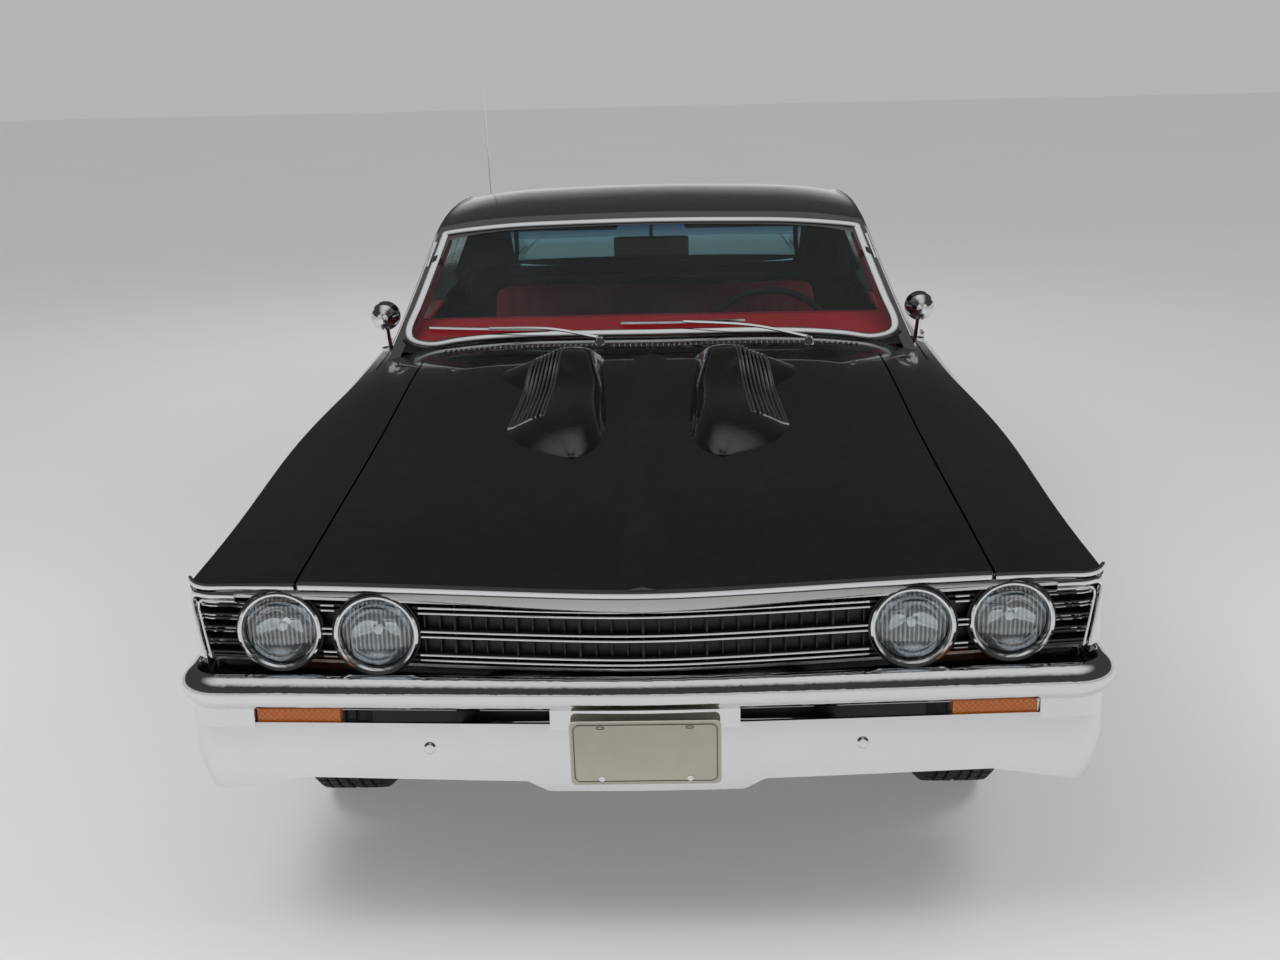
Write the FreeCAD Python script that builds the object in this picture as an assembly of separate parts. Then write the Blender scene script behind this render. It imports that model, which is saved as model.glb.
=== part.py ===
"""Two-door hardtop muscle car of the late nineteen-sixties, as separate panels and running gear.

Millimetres, +Z up. The origin is on the ground under the middle of the car.
The nose points to -Y and +X is the driver's side. Every node is one STEP file in parts/.
"""
import FreeCAD, Part
import math
import os
from FreeCAD import Vector

# Overall sizes
LENGTH = 5004.0
WIDTH = 1905.0
ROOF_HEIGHT = 1318.0
WHEELBASE = 2921.0
TRACK = 1473.0
FRONT_OVERHANG = 864.0
HALF_WIDTH = WIDTH / 2
NOSE_Y = -LENGTH / 2
TAIL_Y = LENGTH / 2
FRONT_AXLE_Y = NOSE_Y + FRONT_OVERHANG
REAR_AXLE_Y = FRONT_AXLE_Y + WHEELBASE
WHEEL_X = TRACK / 2

# Wheels and hubs
TYRE_RADIUS = 335.0
TYRE_WIDTH = 212.0
TYRE_SIDES = 88
BEAD_RADIUS = 182.0
RIM_WIDTH = 170.0
WHEEL_FACE = 46.0
ARCH_RADIUS = 382.0
KINGPIN_X = 632.0
SPINDLE_RADIUS = 16.0
HUB_GAP = 0.5
DRUM_RADIUS = 130.0
LOWER_ARM_Z = 200.0
UPPER_ARM_Z = 472.0

# Gaps and walls
PANEL_GAP = 5.0
FIT_GAP = 0.3
SKIN = 12.0
HOOD_SKIN = 14.0
DOOR_THICKNESS = 92.0
GLASS = 6.0
PILLAR = 30.0
SHEET = 4.0

# Panel lines along the car
HOOD_REAR_Y = -952.0
HOOD_REAR_HALF = 642.0
HOOD_REAR_BOW = 70.0
HOOD_FRONT_HALF = 699.0
HOOD_TIP_Y = -2467.0
NOSE_SLOPE = 0.1416
NOSE_BLEND = 160.0
NOSE_HALF = 938.0
NOSE_CORNER = 70.0
END_REACH = 2200.0
DOOR_FRONT_Y = -905.0
DOOR_LENGTH = 1180.0
DOOR_REAR_Y = DOOR_FRONT_Y + DOOR_LENGTH
DOOR_BOTTOM_Z = 275.0
DOOR_INNER_X = 735.0
DOOR_CORNER_X = 792.0
DOOR_CORNER_Y = -640.0
DOOR_RAKE = 24.0
TAIL_PANEL_Y = TAIL_Y - 72.0
TAIL_SLOPE = 0.04
TAIL_CORNER = 80.0
DECK_FRONT_Y = 1210.0
DECK_REAR_Y = TAIL_PANEL_Y - 40.0
DECK_HALF = 548.0
DOOR_SILL_X = 806.0
ROCKER_X = 780.0
NOSE_SIDE_Y = -2262.0
COWL_SLOTS = 20
COWL_SLOT_PITCH = 54.0

# Body lines, as (place along Y, value): the crease on top of the fenders, the widest
# line of the sides, the rise of the hood and deck above the crease, and the sill
CREASE_X = [(-2600, 930), (-2340, 920), (-1900, 903), (-1300, 873), (-800, 820), (300, 826),
            (900, 866), (1400, 884), (2100, 878), (2600, 852)]
CREASE_Z = [(-2600, 752), (-2340, 772), (-1500, 848), (-900, 906), (-300, 916), (300, 922),
            (900, 951), (1500, 948), (2100, 918), (2600, 872)]
CROWN = [(-2600, 12), (-2300, 16), (-1500, 44), (-900, 76), (0, 70), (1200, 26), (2600, 14)]
SIDE_X = [(-2600, 924), (-2340, 932), (-2000, 944), (0, 946), (1283, HALF_WIDTH), (2000, 946), (2600, 918)]
SILL_Z = [(-2600, 345), (-2100, 300), (-1250, 238), (900, 238), (1700, 275), (2600, 350)]
SIDE_Z = 620.0
SILL_TUCK = 46.0

# Hood blister, as (y, inner foot, inner edge, outer edge, outer foot, height)
BLISTER = [(-1728, 160, 172, 188, 204, 1), (-1690, 132, 156, 214, 262, 12), (-1640, 114, 146, 238, 314, 25),
           (-1560, 104, 140, 258, 345, 36), (-1300, 112, 150, 244, 330, 39), (-1060, 124, 160, 232, 312, 30)]
LOUVRES = 6
LOUVRE_FLOOR = 8.0
BODY_STATIONS = [-2560, -2250, -1850, -1400, -900, -400, 200, 800, 1300, 1800, 2200, 2560]

# Roof lines: centre height, drip rail and the foot of the side glass
ROOF_Z = [(-1000, 1228), (-430, 1300), (-60, 1316), (300, ROOF_HEIGHT), (660, 1288), (960, 1190),
          (1300, 1058), (1620, 935)]
DRIP_X = [(-1000, 640), (-430, 652), (100, 664), (600, 650), (1000, 652), (1620, 720)]
GLASS_FOOT_X = [(-1000, 796), (-770, 800), (0, 806), (900, 822), (1620, 826)]
GLASS_FOOT_Z = 860.0
ROOF_CROWN = 36.0
ROOF_STATIONS = [-1000, -650, -300, 100, 500, 800, 1100, 1350, 1620]

# Windshield, rear window and side windows
SHIELD_CORNER = Vector(736, -772, 961)
SHIELD_TOP = Vector(632, -390, 1276)
SHIELD_BOW_LOW = 108.0
SHIELD_BOW_HIGH = 56.0
BACKLIGHT_TOP = Vector(0, 690, 1262)
BACKLIGHT_FOOT = Vector(0, 1010, 966)
BACKLIGHT_HALF = 560.0
BACKLIGHT_BOW = 30.0
PILLAR_WIDTH = 72.0
SIDE_GLASS_INSET = 10.0
QUARTER_REAR_Y = 720.0
VENT_POST_Y = -545.0

# Nose, lamps and bumpers
HEADER_Z = 742.0
GRILLE_Z = 604.0
LAMP_Z = 674.0
LAMP_X = [538.0, 740.0]
LAMP_RADIUS = 73.0
BEZEL_RADIUS = 86.0
GRILLE_PAIRS = [622.0, 672.0, 722.0]
END_PAIRS = [618.0, 645.0, 672.0, 699.0, 726.0]
BAR = 5.0
BAR_PITCH = 11.0
BUMPER_SLOPE = 0.05
BUMPER_CORNER = 95.0
BUMPER_WALL = 9.0
BUMPER_PROFILE = [(598, 44), (592, 14), (568, 0), (542, 10), (530, 22)]
BUMPER_BAR = [(500, 26), (440, 22), (380, 30), (345, 44)]
BUMPER_WRAP_Y = -2215.0
SLOT_OUTER_X = 790.0
SLOT_INNER_X = 190.0
BUMPER_IRON_X = (350.0, 400.0)
BUMPER_IRON_Z = (380.0, 404.0)
BUMPER_IRON_DEPTH = 47.0
REAR_BUMPER = [(600, 40), (592, 10), (545, 0), (470, 10), (420, 34)]
TAIL_LAMP_X = 560.0
TAIL_LAMP_Z = 660.0
TAIL_LAMP_HEIGHT = 104.0
PLATE_HALF = 165.0
PLATE_Z = (434.0, 596.0)
PLATE_BOLT_X = 89.0
PLATE_BOLT_Z = 572.0

# Running gear under the floor
ENGINE_HALF = 250.0
ENGINE_REAR_Y = -1080.0
ENGINE_Z = 330.0
GEARBOX_Z = 300.0
GEARBOX_RADII = (122.0, 62.0)
GEARBOX_LENGTH = 620.0
RAIL_FRONT_Y = -2300.0
RAIL_TOP_Z = 390.0
CABIN_RAIL_Z = 268.0
TRUNK_Z = 418.0
PIPE_RADIUS = 27.0
PIPE_Z = 222.0
MUFFLER_RADIUS = 60.0
LEAF_X = (522.0, 578.0)

# Seats, dash and steering
SEAT_X = 372.0
SEAT_HALF = 240.0
SEAT_TOP_Z = 1020.0
FLOOR_Z = 292.0
STEER_CENTRE = Vector(365, -345, 875)
STEER_TILT = 25.0
STEER_RADIUS = 196.0
TUNNEL_RADIUS = 150.0


# Shape helpers

def along(line, y):
    """Value of a body line at one place along the car, with a smooth monotone run."""
    if y <= line[0][0]:
        return line[0][1]
    slopes = [(b[1] - a[1]) / (b[0] - a[0]) for a, b in zip(line, line[1:])]
    tangents = [slopes[0]]
    for before, after in zip(slopes, slopes[1:]):
        tangents.append(0 if before * after <= 0 else 2 * before * after / (before + after))
    tangents.append(slopes[-1])
    for i, (start, end) in enumerate(zip(line, line[1:])):
        if y <= end[0]:
            span = end[0] - start[0]
            t = (y - start[0]) / span
            near = (1 + 2 * t) * (1 - t) ** 2 * start[1] + t * (1 - t) ** 2 * span * tangents[i]
            far = t * t * (3 - 2 * t) * end[1] + t * t * (t - 1) * span * tangents[i + 1]
            return near + far
    return line[-1][1]


def spline(points):
    curve = Part.BSplineCurve()
    curve.interpolate(points)
    return curve.toShape()


def segment(start, end):
    return Part.LineSegment(start, end).toShape()


def segments(points):
    return [segment(a, b) for a, b in zip(points, points[1:])]


def polygon(points):
    return Part.Wire(segments(points + points[:1]))


def block(x0, x1, y0, y1, z0, z1):
    return Part.makeBox(x1 - x0, y1 - y0, z1 - z0, Vector(x0, y0, z0))


def plan_prism(points, z0, z1):
    """Solid over an outline in plan, given as (x, y)."""
    face = Part.Face(polygon([Vector(x, y, z0) for x, y in points]))
    return face.extrude(Vector(0, 0, z1 - z0))


def side_prism(points, x0, x1):
    """Solid across an outline in side view, given as (y, z)."""
    face = Part.Face(polygon([Vector(x0, y, z) for y, z in points]))
    return face.extrude(Vector(x1 - x0, 0, 0))


def front_prism(points, y0, y1):
    """Solid behind an outline in front view, given as (x, z)."""
    face = Part.Face(polygon([Vector(x, y0, z) for x, z in points]))
    return face.extrude(Vector(0, y1 - y0, 0))


def rod(start, end, radius):
    direction = end - start
    return Part.makeCylinder(radius, direction.Length, start, direction)


def turned(profile, centre, axis):
    """Solid of revolution of a profile of (distance along the axis, radius) points."""
    axis = Vector(axis).normalize()
    side = axis.cross(Vector(0, 0, 1))
    if side.Length < 0.1:
        side = axis.cross(Vector(0, 1, 0))
    side.normalize()
    points = [centre + axis * a + side * r for a, r in profile]
    return Part.Face(polygon(points)).revolve(centre, axis, 360)


def bent_tube(points, radius, bend):
    """Round bar along straight runs joined by tangent bends."""
    pieces = []
    last = points[0]
    for before, corner, after in zip(points, points[1:], points[2:]):
        back = (before - corner).normalize()
        ahead = (after - corner).normalize()
        half = back.getAngle(ahead) / 2
        reach = bend / math.tan(half)
        start = corner + back * reach
        axis = back.cross(ahead).normalize() * -1
        centre = corner + (back + ahead).normalize() * (bend / math.sin(half))
        ring = Part.Face(Part.Wire(Part.makeCircle(radius, start, back)))
        pieces.append(rod(last, start, radius))
        pieces.append(ring.revolve(centre, axis, 180 - math.degrees(2 * half)))
        last = corner + ahead * reach
    pieces.append(rod(last, points[-1], radius))
    return union(pieces)


def mirrored(shape):
    return shape.mirror(Vector(0, 0, 0), Vector(1, 0, 0))


def both(shape):
    """The piece and its mirror image as separate solids of one node."""
    return Part.makeCompound(shape.Solids + mirrored(shape).Solids)


def union(shapes):
    return shapes[0].fuse(shapes[1:]).removeSplitter()


def biggest(shape):
    return max(shape.Solids, key=lambda solid: solid.Volume)


# Body and roof forms

def body_top(x, y, inset=0.0):
    """Height of the hood, cowl or deck surface."""
    crease = along(CREASE_X, y) - inset
    rise = along(CROWN, y) * (1 - min(1.0, abs(x) / crease) ** 3.5)
    return along(CREASE_Z, y) - inset + rise


def body_section(y, inset):
    crease_x = along(CREASE_X, y) - inset
    crease_z = along(CREASE_Z, y) - inset
    side_x = along(SIDE_X, y) - inset
    sill_z = along(SILL_Z, y) + inset
    shares = [1, 0.8, 0.5, 0, -0.5, -0.8, -1]
    top = [Vector(crease_x * s, y, body_top(crease_x * s, y, inset)) for s in shares]
    bulge = Vector(crease_x + (side_x - crease_x) * 0.8, y, crease_z - (crease_z - SIDE_Z) * 0.45)
    side = [top[0], bulge, Vector(side_x, y, SIDE_Z), Vector(side_x - SILL_TUCK, y, sill_z)]
    left = [Vector(-p.x, p.y, p.z) for p in side]
    return Part.Wire([spline(top), spline(left), segment(left[-1], side[-1]), spline(side[::-1])])


def body_form(inset):
    return Part.makeLoft([body_section(y, inset) for y in BODY_STATIONS], True, False)


def roof_section(y, inset):
    roof = along(ROOF_Z, y) - inset
    drip = along(DRIP_X, y) - inset
    foot = along(GLASS_FOOT_X, y) - inset
    shares = [1, 0.85, 0.5, 0, -0.5, -0.85, -1]
    drops = [1, 0.55, 0.16, 0, 0.16, 0.55, 1]
    top = [Vector(drip * s, y, roof - ROOF_CROWN * d) for s, d in zip(shares, drops)]
    corners = [top[-1], Vector(-foot, y, GLASS_FOOT_Z), Vector(foot, y, GLASS_FOOT_Z), top[0]]
    return Part.Wire([spline(top)] + segments(corners))


def roof_form(inset):
    return Part.makeLoft([roof_section(y, inset) for y in ROOF_STATIONS], True, False)


def shield_line(z, shift):
    """Plan line of the windshield at one height."""
    share = (z - SHIELD_CORNER.z) / (SHIELD_TOP.z - SHIELD_CORNER.z)
    corner_y = SHIELD_CORNER.y + (SHIELD_TOP.y - SHIELD_CORNER.y) * share + shift
    bow = SHIELD_BOW_LOW + (SHIELD_BOW_HIGH - SHIELD_BOW_LOW) * share
    return [Vector(s * SHIELD_CORNER.x, corner_y - bow * (1 - s * s), z)
            for s in (-1.25, -1, -0.5, 0, 0.5, 1, 1.25)]


def backlight_line(z, shift, half):
    slope = (BACKLIGHT_FOOT.y - BACKLIGHT_TOP.y) / (BACKLIGHT_FOOT.z - BACKLIGHT_TOP.z)
    y = BACKLIGHT_TOP.y + slope * (z - BACKLIGHT_TOP.z) + shift
    return [Vector(s * half, y - BACKLIGHT_BOW * (s * half / BACKLIGHT_HALF) ** 2, z)
            for s in (-1, -0.5, 0, 0.5, 1)]


def swept_side(line_at, far_y):
    """Everything between a leaning glass surface and a far plane."""
    wires = []
    for z in (840.0, 1400.0):
        line = line_at(z)
        corners = [line[-1], Vector(line[-1].x, far_y, z), Vector(line[0].x, far_y, z), line[0]]
        wires.append(Part.Wire([spline(line)] + segments(corners)))
    return Part.makeLoft(wires, True, True)


def ahead_of_shield(shift):
    return swept_side(lambda z: shield_line(z, shift), -1700)


def behind_backlight(shift, half=BACKLIGHT_HALF):
    return swept_side(lambda z: backlight_line(z, shift, half), 2000)


def end_plan(tip_y, slope, half, corner, inset, z):
    """Plan outline of one end of the car: a soft V between two round corners, shrunk by the inset."""
    half = half - inset
    radius = corner - inset
    straight = half - radius

    def edge(x):
        return tip_y + inset + slope * (math.sqrt(x * x + NOSE_BLEND ** 2) - NOSE_BLEND)

    front = [Vector(s * straight, edge(s * straight), z) for s in (-1, -0.5, -0.16, 0, 0.16, 0.5, 1)]
    lean = radius * math.sqrt(0.5)
    side_y = front[-1].y + radius
    back_y = tip_y + END_REACH
    right = Part.Arc(front[-1], Vector(straight + lean, side_y - lean, z), Vector(half, side_y, z))
    left = Part.Arc(Vector(-half, side_y, z), Vector(-straight - lean, side_y - lean, z), front[0])
    sides = segments([Vector(half, side_y, z), Vector(half, back_y, z),
                      Vector(-half, back_y, z), Vector(-half, side_y, z)])
    return Part.Wire([spline(front), right.toShape()] + sides + [left.toShape()])


def at_tail(shape):
    """A piece drawn as if at the nose, turned to the other end of the car."""
    return shape.mirror(Vector(0, 0, 0), Vector(0, 1, 0))


def nose_y(x):
    """Front edge of the nose in plan."""
    return HOOD_TIP_Y + NOSE_SLOPE * (math.sqrt(x * x + NOSE_BLEND ** 2) - NOSE_BLEND)


def nose_plan(inset, z):
    return end_plan(HOOD_TIP_Y, NOSE_SLOPE, NOSE_HALF, NOSE_CORNER, inset, z)


def front_bumper_plan(inset, z):
    return end_plan(NOSE_Y, BUMPER_SLOPE, HALF_WIDTH, BUMPER_CORNER, inset, z)


def tail_plan(inset, z):
    return end_plan(-TAIL_PANEL_Y, TAIL_SLOPE, HALF_WIDTH + 4, TAIL_CORNER, inset, z)


def rear_bumper_plan(inset, z):
    return end_plan(-TAIL_Y, TAIL_SLOPE, HALF_WIDTH, BUMPER_CORNER, inset, z)


def upright(plan, inset, z0, z1):
    """Upright solid over one of the plan outlines."""
    return Part.Face(plan(inset, z0)).extrude(Vector(0, 0, z1 - z0))


def band(plan, near, far, z0, z1):
    """Upright strip that follows a plan outline between two insets."""
    return upright(plan, near, z0, z1).cut(upright(plan, far, z0, z1))


def rolled(plan, profile, wall):
    """Curved strip whose section is a list of (height, inset) with one wall thickness."""
    outer = Part.makeLoft([plan(inset, z) for z, inset in profile], True, False)
    (high, high_inset), (low, low_inset) = profile[0], profile[-1]
    through = [(high + 6, high_inset)] + profile[1:-1] + [(low - 6, low_inset)]
    inner = Part.makeLoft([plan(inset + wall, z) for z, inset in through], True, False)
    return outer.cut(inner)


def hood_region(grow, front_shift, z0, z1):
    """Solid over the hood's plan, grown at its sides and rear, with its front edge moved."""
    front_half = HOOD_FRONT_HALF + grow
    rear_half = HOOD_REAR_HALF + grow
    rear_y = HOOD_REAR_Y + grow
    rear = [Vector(s * rear_half, rear_y - HOOD_REAR_BOW * (1 - s * s), z0) for s in (-1, -0.5, 0, 0.5, 1)]
    front_y = -2368.0 + front_shift - 300
    corners = [rear[-1], Vector(front_half, -2368, z0), Vector(front_half, front_y, z0),
               Vector(-front_half, front_y, z0), Vector(-front_half, -2368, z0), rear[0]]
    return Part.Face(Part.Wire([spline(rear)] + segments(corners))).extrude(Vector(0, 0, z1 - z0))


def arch_cut(axle_y, x0, x1, radius=ARCH_RADIUS):
    return Part.makeCylinder(radius, x1 - x0, Vector(x0, axle_y, TYRE_RADIUS), Vector(1, 0, 0))


def side_opening(y_shift, top_drop):
    """Side view outline of the window opening between windshield pillar and sail panel."""
    rake = (SHIELD_TOP.y - SHIELD_CORNER.y) / (SHIELD_TOP.z - SHIELD_CORNER.z)

    def pillar_y(z):
        return SHIELD_CORNER.y + (z - SHIELD_CORNER.z) * rake + PILLAR_WIDTH + y_shift

    top = [(y, along(ROOF_Z, y) - ROOF_CROWN - top_drop) for y in (-250, 60, 350, 560)]
    high_z = top[0][1] - 3
    rear_y = QUARTER_REAR_Y - y_shift
    points = [(pillar_y(840), 840), (pillar_y(high_z), high_z)] + top
    return points + [(rear_y - 62, 1180 - top_drop), (rear_y, 960), (rear_y + 4, 840)]


# Panels

def make_hood(outer):
    panel = outer.cut(body_form(HOOD_SKIN)).common(hood_region(0, 0, 600, 1200))
    panel = panel.common(upright(nose_plan, 0, 600, 1200))
    ridge = []
    for y in (nose_y(0) + 1, -2000, -1500, -1050):
        z = body_top(0, y)
        points = [Vector(-46, y, z - 6), Vector(-46, y, z - 1), Vector(0, y, z + 9), Vector(46, y, z - 1),
                  Vector(46, y, z - 6)]
        ridge.append(polygon(points))
    panel = panel.fuse(Part.makeLoft(ridge, True, True))
    blister = make_blister()
    return panel.fuse([blister, mirrored(blister)])


def make_blister():
    """Smooth swelling of the hood with slots along its outer slope."""
    wires = []
    for y, inner_foot, inner_edge, outer_edge, outer_foot, height in BLISTER:
        across = [(outer_foot, -4), (outer_foot * 0.6 + outer_edge * 0.4, height * 0.36),
                  (outer_edge, height * 0.86), (outer_edge * 0.5 + inner_edge * 0.5, height + 4),
                  (inner_edge, height * 0.86), (inner_foot * 0.6 + inner_edge * 0.4, height * 0.36),
                  (inner_foot, -4)]
        over = [Vector(x, y, body_top(x, y) + rise) for x, rise in across]
        under = [over[-1], over[-1] - Vector(0, 0, 4), over[0] - Vector(0, 0, 4), over[0]]
        wires.append(Part.Wire([spline(over)] + segments(under)))
    blister = Part.makeLoft(wires, True, False)
    slots = []
    for i in range(LOUVRES):
        share = (i + 0.5) / LOUVRES
        rear = 238 + share * 66
        front = 264 + share * 76
        slots.append(plan_prism([(rear, -1080), (rear + 5, -1080), (front + 5, -1540), (front, -1540)], 700, 1100))
    return blister.cut(Part.makeCompound(slots).cut(body_form(-LOUVRE_FLOOR)))


def make_fender(skin):
    zone = front_prism([(640, 690), (640, 1400), (1100, 1400), (1100, 0), (850, 0), (850, 690)],
                       NOSE_Y, DOOR_FRONT_Y)
    fender = skin.common(zone).common(upright(nose_plan, 0, 0, 1400))
    fender = fender.cut(hood_region(PANEL_GAP, -400, 500, 1400))
    fender = fender.cut(arch_cut(FRONT_AXLE_Y, 500, 1200))
    fender = fender.cut(block(500, 1200, NOSE_Y, NOSE_SIDE_Y, 0, HEADER_Z + BAR))
    fender = fender.cut(cowl_zone(FIT_GAP))
    lip = arch_cut(FRONT_AXLE_Y, 905, 1200, ARCH_RADIUS + 12).cut(arch_cut(FRONT_AXLE_Y, 900, 1300))
    lip = lip.common(body_form(-3)).cut(body_form(SKIN)).common(block(800, 1100, -2100, -1200, 240, 900))
    return biggest(fender.fuse(lip))


def cowl_zone(grow):
    front_y = HOOD_REAR_Y - HOOD_REAR_BOW - 20
    side = 690 + grow
    outer = DOOR_CORNER_X - PANEL_GAP + grow
    rear_y = DOOR_CORNER_Y - PANEL_GAP
    points = [(-side, front_y), (side, front_y), (side, DOOR_FRONT_Y + grow), (outer, DOOR_FRONT_Y + grow),
              (outer, rear_y), (-outer, rear_y), (-outer, DOOR_FRONT_Y + grow), (-side, DOOR_FRONT_Y + grow)]
    if grow:
        points = [(x, y - grow if i < 2 else y - 2 * grow if i in (2, 3, 6, 7) else y)
                  for i, (x, y) in enumerate(points)]
    return plan_prism(points, 780, 1200)


def lid_pad(x0, x1, tip_y, root_y, join_y):
    """Hinge pad that reaches from the fixed skin to just under a lid's edge."""
    layer = body_form(HOOD_SKIN + FIT_GAP).cut(body_form(HOOD_SKIN + 12))
    pad = layer.common(block(x0, x1, min(tip_y, root_y), max(tip_y, root_y), 600, 1200))
    joint = body_form(1).cut(body_form(HOOD_SKIN + 12))
    return pad.fuse(joint.common(block(x0, x1, min(join_y, root_y), max(join_y, root_y), 600, 1200)))


def make_body_shell(outer, skin):
    cabin = roof_form(PILLAR).cut(ahead_of_shield(0)).cut(behind_backlight(0, 900))
    rear_zone = block(-1100, 1100, DOOR_REAR_Y + PANEL_GAP, 2600, 0, 1400)
    rear_outer = outer.common(rear_zone).common(at_tail(upright(tail_plan, 0, 0, 1400)))
    hollow = body_form(SKIN).common(at_tail(upright(tail_plan, SKIN, 0, 1400)))
    floor_hole = block(-860, 860, 0, 2340, 0, 500)
    rear = rear_outer.cut(hollow).cut(floor_hole)
    deck_hole = block(-DECK_HALF - PANEL_GAP, DECK_HALF + PANEL_GAP,
                      DECK_FRONT_Y - PANEL_GAP, DECK_REAR_Y + PANEL_GAP, 700, 1400)
    rear = rear.cut(deck_hole)
    jamb = outer.common(block(730, 1100, DOOR_REAR_Y + PANEL_GAP, DOOR_REAR_Y + PANEL_GAP + SKIN, 0, 1100))
    jamb = jamb.fuse(mirrored(jamb))
    cowl = skin.common(cowl_zone(0)).cut(hood_region(PANEL_GAP, 0, 700, 1300))
    for i in range(COWL_SLOTS):
        x = (i - (COWL_SLOTS - 1) / 2) * COWL_SLOT_PITCH
        bow = -960 + 70 * (x / 736) ** 2
        cowl = cowl.cut(block(x - 13, x + 13, bow - 4, bow + 4, 800, 1200))
    rocker = outer.common(block(ROCKER_X, 1100, DOOR_FRONT_Y + 2, DOOR_REAR_Y + 40, 0, DOOR_BOTTOM_Z - PANEL_GAP))
    flange = block(ROCKER_X, ROCKER_X + 5, DOOR_FRONT_Y + 5, DOOR_REAR_Y + 25, 250, FLOOR_Z)
    post = body_form(SKIN + 2).cut(body_form(DOOR_THICKNESS)).common(
        block(DOOR_INNER_X, 1000, DOOR_FRONT_Y - 75, DOOR_FRONT_Y - 3, 0, 860))
    step = block(ROCKER_X, 850, DOOR_FRONT_Y - 75, DOOR_FRONT_Y + 20, 252, DOOR_BOTTOM_Z - PANEL_GAP)
    sides = [rocker, flange, post, step]
    for z in (420, 700):
        sides.append(block(868, 905, DOOR_FRONT_Y - 20, DOOR_FRONT_Y - FIT_GAP, z, z + 60))
    sides = union(sides)
    lower = union([rear, jamb, cowl]).cut(cabin)
    roof = roof_form(0).cut(roof_form(PILLAR)).cut(ahead_of_shield(0)).cut(behind_backlight(0, 900))
    sails = roof_form(0).common(behind_backlight(0, 900)).cut(behind_backlight(-20))
    top = roof.fuse(sails).cut(side_prism(side_opening(0, 8), -1100, 1100))
    top = top.cut(body_form(SKIN)).cut(block(-1100, 1100, -1100, DOOR_REAR_Y + PANEL_GAP, 700, 880))
    shell = union([lower, top, sides, mirrored(sides)])
    shell = shell.cut(arch_cut(REAR_AXLE_Y, -1200, 1200).cut(block(-590, 590, 0, 2000, 0, 1000)))
    pads = [lid_pad(600, 636, HOOD_REAR_Y - 30, HOOD_REAR_Y + PANEL_GAP + 20, HOOD_REAR_Y + PANEL_GAP + 3),
            lid_pad(460, 500, DECK_FRONT_Y + 30, DECK_FRONT_Y - PANEL_GAP - 20, DECK_FRONT_Y - PANEL_GAP - 3)]
    return shell.cut(lamp_pockets()).fuse(pads + [mirrored(pad) for pad in pads])


def lamp_pockets():
    high_z = TAIL_LAMP_Z + TAIL_LAMP_HEIGHT + FIT_GAP
    pocket = at_tail(band(tail_plan, -20, 40, TAIL_LAMP_Z - FIT_GAP, high_z))
    inner_x = TAIL_LAMP_X - FIT_GAP
    pocket = pocket.cut(block(-inner_x, inner_x, 0, 2600, 500, 900))
    return pocket.cut(block(-1100, 1100, 0, TAIL_PANEL_Y - 226 - FIT_GAP, 0, 1200))


def make_decklid(outer):
    lid = outer.cut(body_form(HOOD_SKIN)).common(
        block(-DECK_HALF, DECK_HALF, DECK_FRONT_Y, DECK_REAR_Y, 700, 1200))
    return lid


def make_door(outer):
    zone = plan_prism([(1000, DOOR_FRONT_Y), (1000, DOOR_REAR_Y), (DOOR_INNER_X, DOOR_REAR_Y - DOOR_RAKE),
                       (DOOR_INNER_X, DOOR_CORNER_Y), (DOOR_CORNER_X, DOOR_CORNER_Y),
                       (DOOR_CORNER_X, DOOR_FRONT_Y)], DOOR_BOTTOM_Z, 1200)
    door = outer.cut(body_form(DOOR_THICKNESS)).common(zone)
    door = biggest(door.cut(block(600, DOOR_SILL_X, DOOR_FRONT_Y - 10, DOOR_REAR_Y + 10, 0, 500)))
    post_outline = [(VENT_POST_Y - 9, 880), (VENT_POST_Y + 9, 880),
                    (VENT_POST_Y + 31, 1240), (VENT_POST_Y + 13, 1240)]
    post = roof_form(SIDE_GLASS_INSET - 4).cut(roof_form(SIDE_GLASS_INSET + 10))
    post = post.common(side_prism(post_outline, 600, 900))
    return biggest(door.fuse(post.common(side_prism(side_opening(4, 12), 600, 900))))


def side_pane(y0, y1, x0=600):
    """Piece of the side glass surface between two places along the car."""
    pane = roof_form(SIDE_GLASS_INSET).cut(roof_form(SIDE_GLASS_INSET + GLASS))
    pane = pane.common(side_prism(side_opening(4, 12), x0, 900))
    return pane.common(block(x0, 900, y0, y1, 800, 1300))


def make_door_glass(door, outer):
    glass = side_pane(-1000, DOOR_REAR_Y)
    return glass.cut(door).cut(outer)


def make_quarter_glass(outer):
    return both(biggest(side_pane(DOOR_REAR_Y + PANEL_GAP, 900).cut(outer)))


def make_mirror():
    centre = Vector(811, -600, 1019)
    head = turned([(-34, 0), (-32, 16), (-22, 29), (-6, 38), (16, 43), (34, 44), (38, 40), (38, 0)],
                  centre, Vector(0, 1, 0))
    foot_z = body_top(801, -596)
    stalk = rod(Vector(800, -596, foot_z + 3), Vector(808, -600, 992), 9)
    base = Part.makeCylinder(24, 8, Vector(800, -596, foot_z - 0.5))
    return union([head, stalk, base]).cut(body_form(0))


def make_windshield(shell):
    glass = ahead_of_shield(GLASS).cut(ahead_of_shield(0)).common(roof_form(PILLAR + FIT_GAP))
    return biggest(glass.common(block(-900, 900, -1200, 0, 945, 1400)).cut(shell))


def make_rear_window(shell):
    glass = behind_backlight(-20 - FIT_GAP - GLASS).cut(behind_backlight(-20 - FIT_GAP))
    glass = glass.common(roof_form(PILLAR + FIT_GAP)).cut(shell)
    return biggest(glass.common(block(-900, 900, 400, 1300, 950, 1400)))


# Nose pieces

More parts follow.
